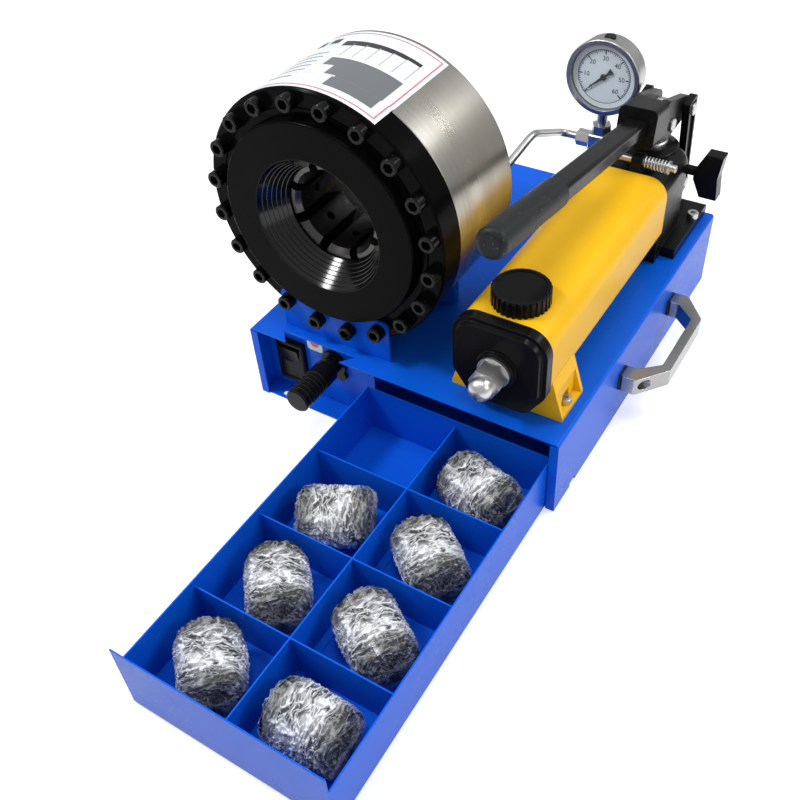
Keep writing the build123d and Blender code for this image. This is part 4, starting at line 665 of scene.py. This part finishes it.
class CRIMPER_OT_dial(bpy.types.Operator):
    """Print the gauge's scale, ticks and numerals"""

    bl_idname = "crimper.dial"
    bl_label = "Gauge dial"

    def execute(self, context):
        dial = context.scene.crimper_dial
        low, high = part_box("gauge_dial")
        centre = (low + high) / 2
        radius = (high.x - low.x) / 2
        ink = plain_finish("dial ink", (0.015, 0.015, 0.018), 0.5)
        ink_thickness = 0.0002
        face = low.y - 0.6 * ink_thickness
        scale_radius = radius * 0.84
        thin_line = 0.022       # of the radius
        interval = dial.steps // dial.numerals
        marks = bmesh.new()
        for index in range(dial.steps + 1):
            bearing = dial.start - dial.sweep * index / dial.steps
            major = index % interval == 0
            middle = index % (interval // 2) == 0
            reach = radius * (0.15 if major else 0.11 if middle else 0.07)
            width = radius * (0.036 if major else thin_line)
            turn = (Matrix.Translation((centre.x, face, centre.z))
                    @ Matrix.Rotation(-bearing, 4, "Y"))
            add_slab(marks, (scale_radius - reach / 2, 0, 0), (reach, ink_thickness, width), turn)
        ring = bmesh.ops.create_circle(marks, segments=96, radius=scale_radius,
                                       matrix=Matrix.Rotation(math.pi / 2, 4, "X"))["verts"]
        inner = bmesh.ops.extrude_edge_only(marks, edges=edges_at(ring))["geom"]
        inner_verts = [g for g in inner if isinstance(g, bmesh.types.BMVert)]
        inner_share = 1 - thin_line
        bmesh.ops.scale(marks, vec=(inner_share,) * 3, verts=inner_verts)
        bmesh.ops.translate(marks, vec=(centre.x, face, centre.z), verts=ring + inner_verts)
        put_in_order(marks)
        piece_from(marks, "dial_scale", ink, "machine", smooth=False)

        figures = bmesh.new()
        numeral_radius = radius * 0.56
        for index in range(dial.numerals + 1):
            bearing = dial.start - dial.sweep * index / dial.numerals
            text = bpy.data.curves.new("figure", "FONT")
            text.body = str(dial.full_scale * index // dial.numerals)
            text.align_x, text.align_y = "CENTER", "CENTER"
            text.size = dial.numeral_height * 1.4
            text.extrude = ink_thickness / 2
            stand_in = bpy.data.objects.new("figure", text)
            context.scene.collection.objects.link(stand_in)
            context.view_layer.update()
            flat = bpy.data.meshes.new_from_object(stand_in)
            flat.transform(Matrix.Translation((centre.x + numeral_radius * math.cos(bearing), face,
                                               centre.z + numeral_radius * math.sin(bearing)))
                           @ Matrix.Rotation(math.pi / 2, 4, "X"))
            figures.from_mesh(flat)
            bpy.data.objects.remove(stand_in)
            bpy.data.meshes.remove(flat)
        piece_from(figures, "dial_figures", ink, "machine", smooth=False)
        return {"FINISHED"}


class CRIMPER_OT_labels(bpy.types.Operator):
    """Lay the blank sheet on the head and the small blank plate on the panel"""

    bl_idname = "crimper.labels"
    bl_label = "Blank labels"

    def execute(self, context):
        look = context.scene.crimper_finish
        label = context.scene.crimper_label
        paper = plain_finish("label film", look.paper, 0.22)
        red = plain_finish("red print", (0.62, 0.10, 0.13), 0.3)
        grey = plain_finish("grey print", (0.13, 0.14, 0.15), 0.3)
        ink = plain_finish("black print", (0.02, 0.02, 0.022), 0.3)
        pale = plain_finish("pale print", (0.34, 0.36, 0.38), 0.3)
        ys = (FLANGE_LOW.y + label.front_margin, CYLINDER_HIGH.y - label.back_margin)
        angles = (label.first_angle, label.last_angle)
        wrapped_sheet("head_sheet", angles, ys, label.lift, paper, "machine")

        def strip(name, across, along, material, lift):
            """A printed patch: across and along are shares of the sheet."""
            span = angles[1] - angles[0]
            run = ys[1] - ys[0]
            return wrapped_sheet(name, [angles[0] + s * span for s in across],
                                 [ys[0] + s * run for s in along], label.lift * lift, material,
                                 "machine", max(2, int(48 * (across[1] - across[0]))))

        arc = FLANGE_RADIUS * (angles[1] - angles[0])
        depth = ys[1] - ys[0]
        edge_a, edge_y = label.border / arc, label.border / depth
        line_a, line_y = label.line / arc, label.line / depth
        strip("sheet_line_right", (edge_a, edge_a + line_a), (edge_y, 1 - edge_y), red, 2)
        strip("sheet_line_left", (1 - edge_a - line_a, 1 - edge_a), (edge_y, 1 - edge_y), red, 2)
        strip("sheet_line_front", (edge_a, 1 - edge_a), (edge_y, edge_y + line_y), red, 2)
        strip("sheet_line_back", (edge_a, 1 - edge_a), (1 - edge_y - line_y, 1 - edge_y), red, 2)
        panel_steps = (((0.07, 0.34), (0.10, 0.52)), ((0.34, 0.41), (0.27, 0.52)),
                       ((0.41, 0.48), (0.40, 0.52)))
        for index, (across, along) in enumerate(panel_steps):
            strip(f"sheet_panel_{index + 1}", across, along, grey, 2)
        for index in range(6):
            start = 0.08 + 0.075 * index
            strip(f"sheet_bar_{index + 1}", (start, start + 0.074), (0.775 - 0.008 * index, 0.815),
                  ink, 2)
            strip(f"sheet_grid_{index + 1}", (start, start + 0.004), (0.56, 0.77), pale, 2)
        for index in range(3):
            start = 0.58 + 0.10 * index
            strip(f"sheet_box_{index + 1}", (start, start + 0.06), (0.80, 0.88), ink, 2)
        for index in range(7):
            row = 0.16 + 0.075 * index
            strip(f"sheet_rule_{index + 1}", (0.55, 0.90 - 0.03 * (index % 3)), (row, row + 0.014),
                  pale, 2)

        panel_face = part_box("front_panel")[0].y
        cabinet_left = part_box("cabinet_shell")[0].x
        half_plate = label.plate_thickness / 2
        plate = bmesh.new()
        centre = Vector((cabinet_left + label.plate_from_left, panel_face - half_plate,
                         label.plate_from_floor))
        add_slab(plate, centre, (label.plate_width, label.plate_thickness, label.plate_height))
        corners = [edge for edge in plate.edges
                   if abs((edge.verts[0].co - edge.verts[1].co).y) > half_plate]
        bmesh.ops.bevel(plate, geom=corners, offset=label.plate_corner, segments=5, profile=0.5,
                        affect="EDGES", material=-1)
        piece_from(plate, "panel_plate", paper, "machine", smooth=False)
        disc = bmesh.new()
        bmesh.ops.create_cone(disc, cap_ends=True, segments=32, radius1=label.disc_radius,
                              radius2=label.disc_radius, depth=half_plate,
                              matrix=Matrix.Translation((centre.x, centre.y - half_plate, centre.z))
                              @ Matrix.Rotation(math.pi / 2, 4, "X"))
        piece_from(disc, "panel_plate_disc", red, "machine", smooth=False)
        return {"FINISHED"}


class CRIMPER_OT_spring(bpy.types.Operator):
    """Wind the latch's spring between its lug and the rod's clip"""

    bl_idname = "crimper.spring"
    bl_label = "Latch spring"

    def execute(self, context):
        spring = context.scene.crimper_spring
        low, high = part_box("latch_spring")
        centre = (low + high) / 2
        coil_radius = (high.z - low.z) / 2 - spring.wire
        steps_per_coil = 30
        steps = steps_per_coil * spring.coils
        run = (high.x - low.x - 2 * spring.wire) / steps
        wire = bmesh.new()
        place = Matrix.Translation((low.x + spring.wire, centre.y + coil_radius, centre.z))
        ring = bmesh.ops.create_circle(wire, segments=10, radius=spring.wire, matrix=place)["verts"]
        bmesh.ops.spin(wire, geom=ring + edges_at(ring), cent=centre, axis=(1, 0, 0),
                       dvec=(run, 0, 0), angle=TURN * spring.coils, steps=steps, use_merge=False)
        bmesh.ops.holes_fill(wire, edges=[edge for edge in wire.edges if edge.is_boundary])
        bmesh.ops.recalc_face_normals(wire, faces=wire.faces)
        put_in_order(wire)
        made = piece_from(wire, "wound_spring", FINISH_OF_SLOT["zinc_steel"], None)
        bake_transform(made)
        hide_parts("latch_spring")
        return {"FINISHED"}


def bundle_meridian(half_length, radius, squareness, spans):
    """Evenly spaced points (along, out, distance) on a rounded bundle's outline, end to end."""
    samples = 1000
    fine = []
    for index in range(samples + 1):
        bearing = math.pi * (index / samples - 0.5)
        along, out = math.sin(bearing), abs(math.cos(bearing))
        fine.append((half_length * math.copysign(abs(along) ** squareness, along),
                     radius * out ** squareness))
    run = [0.0]
    for before, after in zip(fine, fine[1:]):
        run.append(run[-1] + math.dist(before, after))
    points, at = [], 0
    for index in range(spans + 1):
        goal = run[-1] * index / spans
        while at < len(run) - 2 and run[at + 1] < goal:
            at += 1
        part = (goal - run[at]) / max(run[at + 1] - run[at], 1e-9)
        points.append((fine[at][0] + part * (fine[at + 1][0] - fine[at][0]),
                       fine[at][1] + part * (fine[at + 1][1] - fine[at][1]), goal))
    return points


def folded(place, sharpness):
    """A crease's height from 0 to 1: sharp where the noise passes through its middle."""
    return 1 - min(1.0, abs(noise.noise(place)) * sharpness)


def film_bundle(name, film, centre, turn, floor, seed, material):
    """One closed bag of film, tight round its dies, creased across and bunched at its ends."""
    along, around = 200, 190
    bulge_span, slack_span = 0.022, 0.045
    crease_pitch, slant_pitch, slant_twist = 0.0042, 0.011, 0.02
    end_share = 0.20
    outline = bundle_meridian(film.half_length, film.radius, film.squareness, along)
    bag = bmesh.new()
    uv = bag.loops.layers.uv.new("film")
    bmesh.ops.create_grid(bag, x_segments=along, y_segments=around, size=0.5)
    spin = Matrix.Rotation(math.radians(turn), 3, "Z")
    sheet = {}
    for vert in bag.verts:
        column = round((vert.co.x + 0.5) * along)
        share_round = vert.co.y + 0.5
        x, out, run = outline[column]
        bearing = TURN * share_round - math.pi / 2
        ring = Vector((0, math.cos(bearing), math.sin(bearing)))
        sheet[vert] = (run - outline[-1][2] / 2, share_round * TURN * film.radius)
        end = max(0.0, abs(x) / film.half_length - (1 - end_share)) / end_share
        place = Vector((x, 0, 0)) + ring * out
        bulge = 0.5 + 0.5 * noise.noise(place / bulge_span + seed)
        slack = 0.5 + 0.5 * noise.noise(place / slack_span + seed * 1.7)
        crease = folded(Vector((run / crease_pitch, ring.y * 2.6, ring.z * 2.6)) + seed, 2.6) ** 2
        slant = Vector((run / slant_pitch, ring.y * 5 + run / slant_twist, ring.z * 5)) + seed * 2
        slanted = folded(slant, 3.2) ** 2
        pleat = folded(ring * 5.5 + seed, 2.4) * end
        lift = film.lumps * bulge * slack + film.folds * (0.6 * crease + 0.6 * slanted)
        place += ring * (lift + 0.4 * film.folds * pleat) * min(1.0, out / (0.5 * film.radius))
        bunch = film.gather * end * (0.25 + 0.75 * slack) * (0.35 + 0.65 * pleat)
        place.x += math.copysign(bunch + 0.3 * film.folds * crease * end, x)
        place = spin @ place + centre
        place.z = max(place.z, floor + film.clearance)
        vert.co = place
    for face in bag.faces:
        for loop in face.loops:
            loop[uv].uv = sheet[loop.vert]
    bmesh.ops.remove_doubles(bag, verts=bag.verts, dist=1e-6)
    bmesh.ops.recalc_face_normals(bag, faces=bag.faces)
    return piece_from(bag, name, material, "drawer")


class CRIMPER_OT_films(bpy.types.Operator):
    """Wrap each stored die set in crumpled clear film"""

    bl_idname = "crimper.films"
    bl_label = "Film wraps"

    def execute(self, context):
        film = context.scene.crimper_film
        finish = Finish("crumpled film", (0.88, 0.90, 0.915), Roughness=0.20, IOR=1.5,
                        Specular_IOR_Level=1.0)
        sheet = node(finish.tree, "ShaderNodeUVMap", (-1000, 200))
        sheet.uv_map = "film"
        creases = finish.group("Film Creases", sheet.outputs[0], Half_length=film.half_length)
        # Alpha of the white film: flat film, plus creases and patches that are partly painted
        # reflection.
        veil_and_glint = maths(finish.tree, "MULTIPLY_ADD", creases["Crease"], film.crease_and_glint_opacity,
                     film.opacity, at=(-200, -100))
        finish.feed("Alpha", maths(finish.tree, "MULTIPLY_ADD", creases["Cloud"],
                                   film.cloud_and_sheen_opacity, veil_and_glint, at=(0, -100), clamp=True))
        finish.bump(creases["Height"], 0.7, 0.0015)

        low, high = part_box("drawer_tray")
        dies_low, dies_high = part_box("die_sets_front_row")
        set_radius = (dies_high.z - dies_low.z) / 2
        sheet_metal = 0.0015        # thickness of the tray
        rows, columns = 4, 2
        inner_low = Vector((low.x + sheet_metal, low.y + sheet_metal, low.z + sheet_metal))
        inner_high = Vector((high.x - sheet_metal, high.y - sheet_metal, high.z))
        pitch_x = (inner_high.x - inner_low.x) / columns
        pitch_y = (inner_high.y - inner_low.y) / rows
        turns = (-17.0, 25.0, -40.0, -48.0, -33.0, -47.0, 0.0)      # as the sets lie, in degrees
        places = [(row, column) for row in range(rows) for column in range(columns)][1:]
        for index, ((row, column), turn) in enumerate(zip(places, turns)):
            centre = Vector((inner_low.x + (column + 0.5) * pitch_x,
                             inner_high.y - (row + 0.5) * pitch_y, dies_low.z + set_radius))
            film_bundle(f"film_wrap_{index + 1}", film, centre, turn, inner_low.z,
                        Vector((3.1 * index + 0.7, 7.7 * index, 1.3)), finish.material.name)
        return {"FINISHED"}


class CRIMPER_OT_stage(bpy.types.Operator):
    """Set the floor, the lamps, the world and the camera"""

    bl_idname = "crimper.stage"
    bl_label = "Stage"

    def execute(self, context):
        studio = context.scene.crimper_studio
        scene = context.scene
        scene.view_settings.view_transform = "Standard"

        finish = Finish("studio floor", studio.floor, Roughness=0.9)
        skin = finish.group("Skin", Grain=60.0, Roughness=0.9)
        shade = finish.mix(skin["Patch"], darker(studio.floor, 0.995), studio.floor)
        finish.feed("Base Color", shade)
        glow = node(finish.tree, "ShaderNodeEmission", (400, 250))
        lights = node(finish.tree, "ShaderNodeLightPath", (100, 500))
        through = maths(finish.tree, "MAXIMUM", lights.outputs["Is Camera Ray"],
                        lights.outputs["Is Transmission Ray"], at=(200, 450))
        seen = maths(finish.tree, "MAXIMUM", through, lights.outputs["Is Glossy Ray"],
                     at=(300, 450))
        level = maths(finish.tree, "MULTIPLY", seen, studio.floor_glow, at=(400, 450))
        finish.tree.links.new(level, glow.inputs["Strength"])
        both = node(finish.tree, "ShaderNodeAddShader", (600, 150))
        finish.tree.links.new(finish.shader.outputs[0], both.inputs[0])
        finish.tree.links.new(glow.outputs[0], both.inputs[1])
        finish.tree.links.new(both.outputs[0], finish.out.inputs["Surface"])
        floor = bmesh.new()
        bmesh.ops.create_grid(floor, x_segments=2, y_segments=2, size=FLOOR_REACH)
        mesh = bpy.data.meshes.new("studio_floor")
        floor.to_mesh(mesh)
        floor.free()
        mesh.materials.append(finish.material)
        ground = bpy.data.objects.new("studio_floor", mesh)
        scene.collection.objects.link(ground)

        world = bpy.data.worlds.new("soft studio")
        scene.world = world
        world.use_nodes = True
        tree = world.node_tree
        tree.nodes.clear()
        place = node(tree, "ShaderNodeTexCoord", (-900, 0))
        split = node(tree, "ShaderNodeSeparateXYZ", (-700, 0))
        tree.links.new(place.outputs["Generated"], split.inputs[0])
        ramp = node(tree, "ShaderNodeValToRGB", (-400, 0))
        stops = ramp.color_ramp.elements
        stops[0].position, stops[0].color = 0.0, (0.55, 0.56, 0.58, 1)
        stops[1].position, stops[1].color = 1.0, (1.0, 1.0, 1.0, 1)
        tree.links.new(maths(tree, "MULTIPLY_ADD", split.outputs["Z"], 0.5, 0.5, at=(-550, 0)),
                       ramp.inputs[0])
        lit = node(tree, "ShaderNodeBackground", (0, 100))
        tree.links.new(ramp.outputs[0], lit.inputs["Color"])
        lit.inputs["Strength"].default_value = studio.ambient
        white = node(tree, "ShaderNodeBackground", (0, -100), strength=1.0)
        white.inputs["Color"].default_value = (1, 1, 1, 1)
        rays = node(tree, "ShaderNodeLightPath", (0, 500))
        chosen = node(tree, "ShaderNodeMixShader", (250, 100))
        for target, source in enumerate((rays.outputs["Is Camera Ray"], lit.outputs[0],
                                         white.outputs[0])):
            tree.links.new(source, chosen.inputs[target])
        out = node(tree, "ShaderNodeOutputWorld", (500, 0))
        tree.links.new(chosen.outputs[0], out.inputs[0])

        for name, place, width, watts in LAMPS:
            lamp = bpy.data.lights.new(name, "AREA")
            lamp.size, lamp.energy = width, watts
            made = bpy.data.objects.new(name, lamp)
            made.location = place
            aim = LAMP_TARGET - Vector(place)
            made.rotation_euler = aim.to_track_quat("-Z", "Y").to_euler()
            scene.collection.objects.link(made)

        eye = bpy.data.cameras.new("studio_camera")
        eye.sensor_width = 36
        eye.lens = studio.lens
        camera = bpy.data.objects.new("studio_camera", eye)
        camera.location = studio.place
        camera.rotation_euler = studio.turn
        scene.collection.objects.link(camera)
        scene.camera = camera
        return {"FINISHED"}


class CRIMPER_PT_sidebar(bpy.types.Panel):
    """Lists the steps that dress the machine"""

    bl_idname = "CRIMPER_PT_sidebar"
    bl_label = "Hose crimping machine"
    bl_space_type = "VIEW_3D"
    bl_region_type = "UI"
    bl_category = "Crimper"

    def draw(self, context):
        for step in STEPS:
            self.layout.operator(step.bl_idname)
        for name in SETTINGS:
            box = self.layout.box()
            for field in getattr(context.scene, name).bl_rna.properties.keys():
                if field not in ("rna_type", "name"):
                    box.prop(getattr(context.scene, name), field)


STEPS = (CRIMPER_OT_finishes, CRIMPER_OT_dial, CRIMPER_OT_labels, CRIMPER_OT_spring,
         CRIMPER_OT_films, CRIMPER_OT_stage)
SETTINGS = {"crimper_finish": FinishSettings, "crimper_film": FilmSettings,
            "crimper_label": LabelSettings, "crimper_spring": SpringSettings,
            "crimper_dial": DialSettings, "crimper_studio": StudioSettings}


def register():
    """Registers the settings, the steps and the panel."""
    for kind in (*SETTINGS.values(), *STEPS, CRIMPER_PT_sidebar):
        bpy.utils.register_class(kind)
    for name, kind in SETTINGS.items():
        setattr(bpy.types.Scene, name, bpy.props.PointerProperty(type=kind))


def unregister():
    """Takes away what register added."""
    for name in SETTINGS:
        delattr(bpy.types.Scene, name)
    for kind in reversed((*SETTINGS.values(), *STEPS, CRIMPER_PT_sidebar)):
        bpy.utils.unregister_class(kind)


def main():
    """Dresses the machine step by step."""
    register()
    for step in STEPS:
        area, action = step.bl_idname.split(".")
        getattr(getattr(bpy.ops, area), action)()


if __name__ == "__main__":
    main()
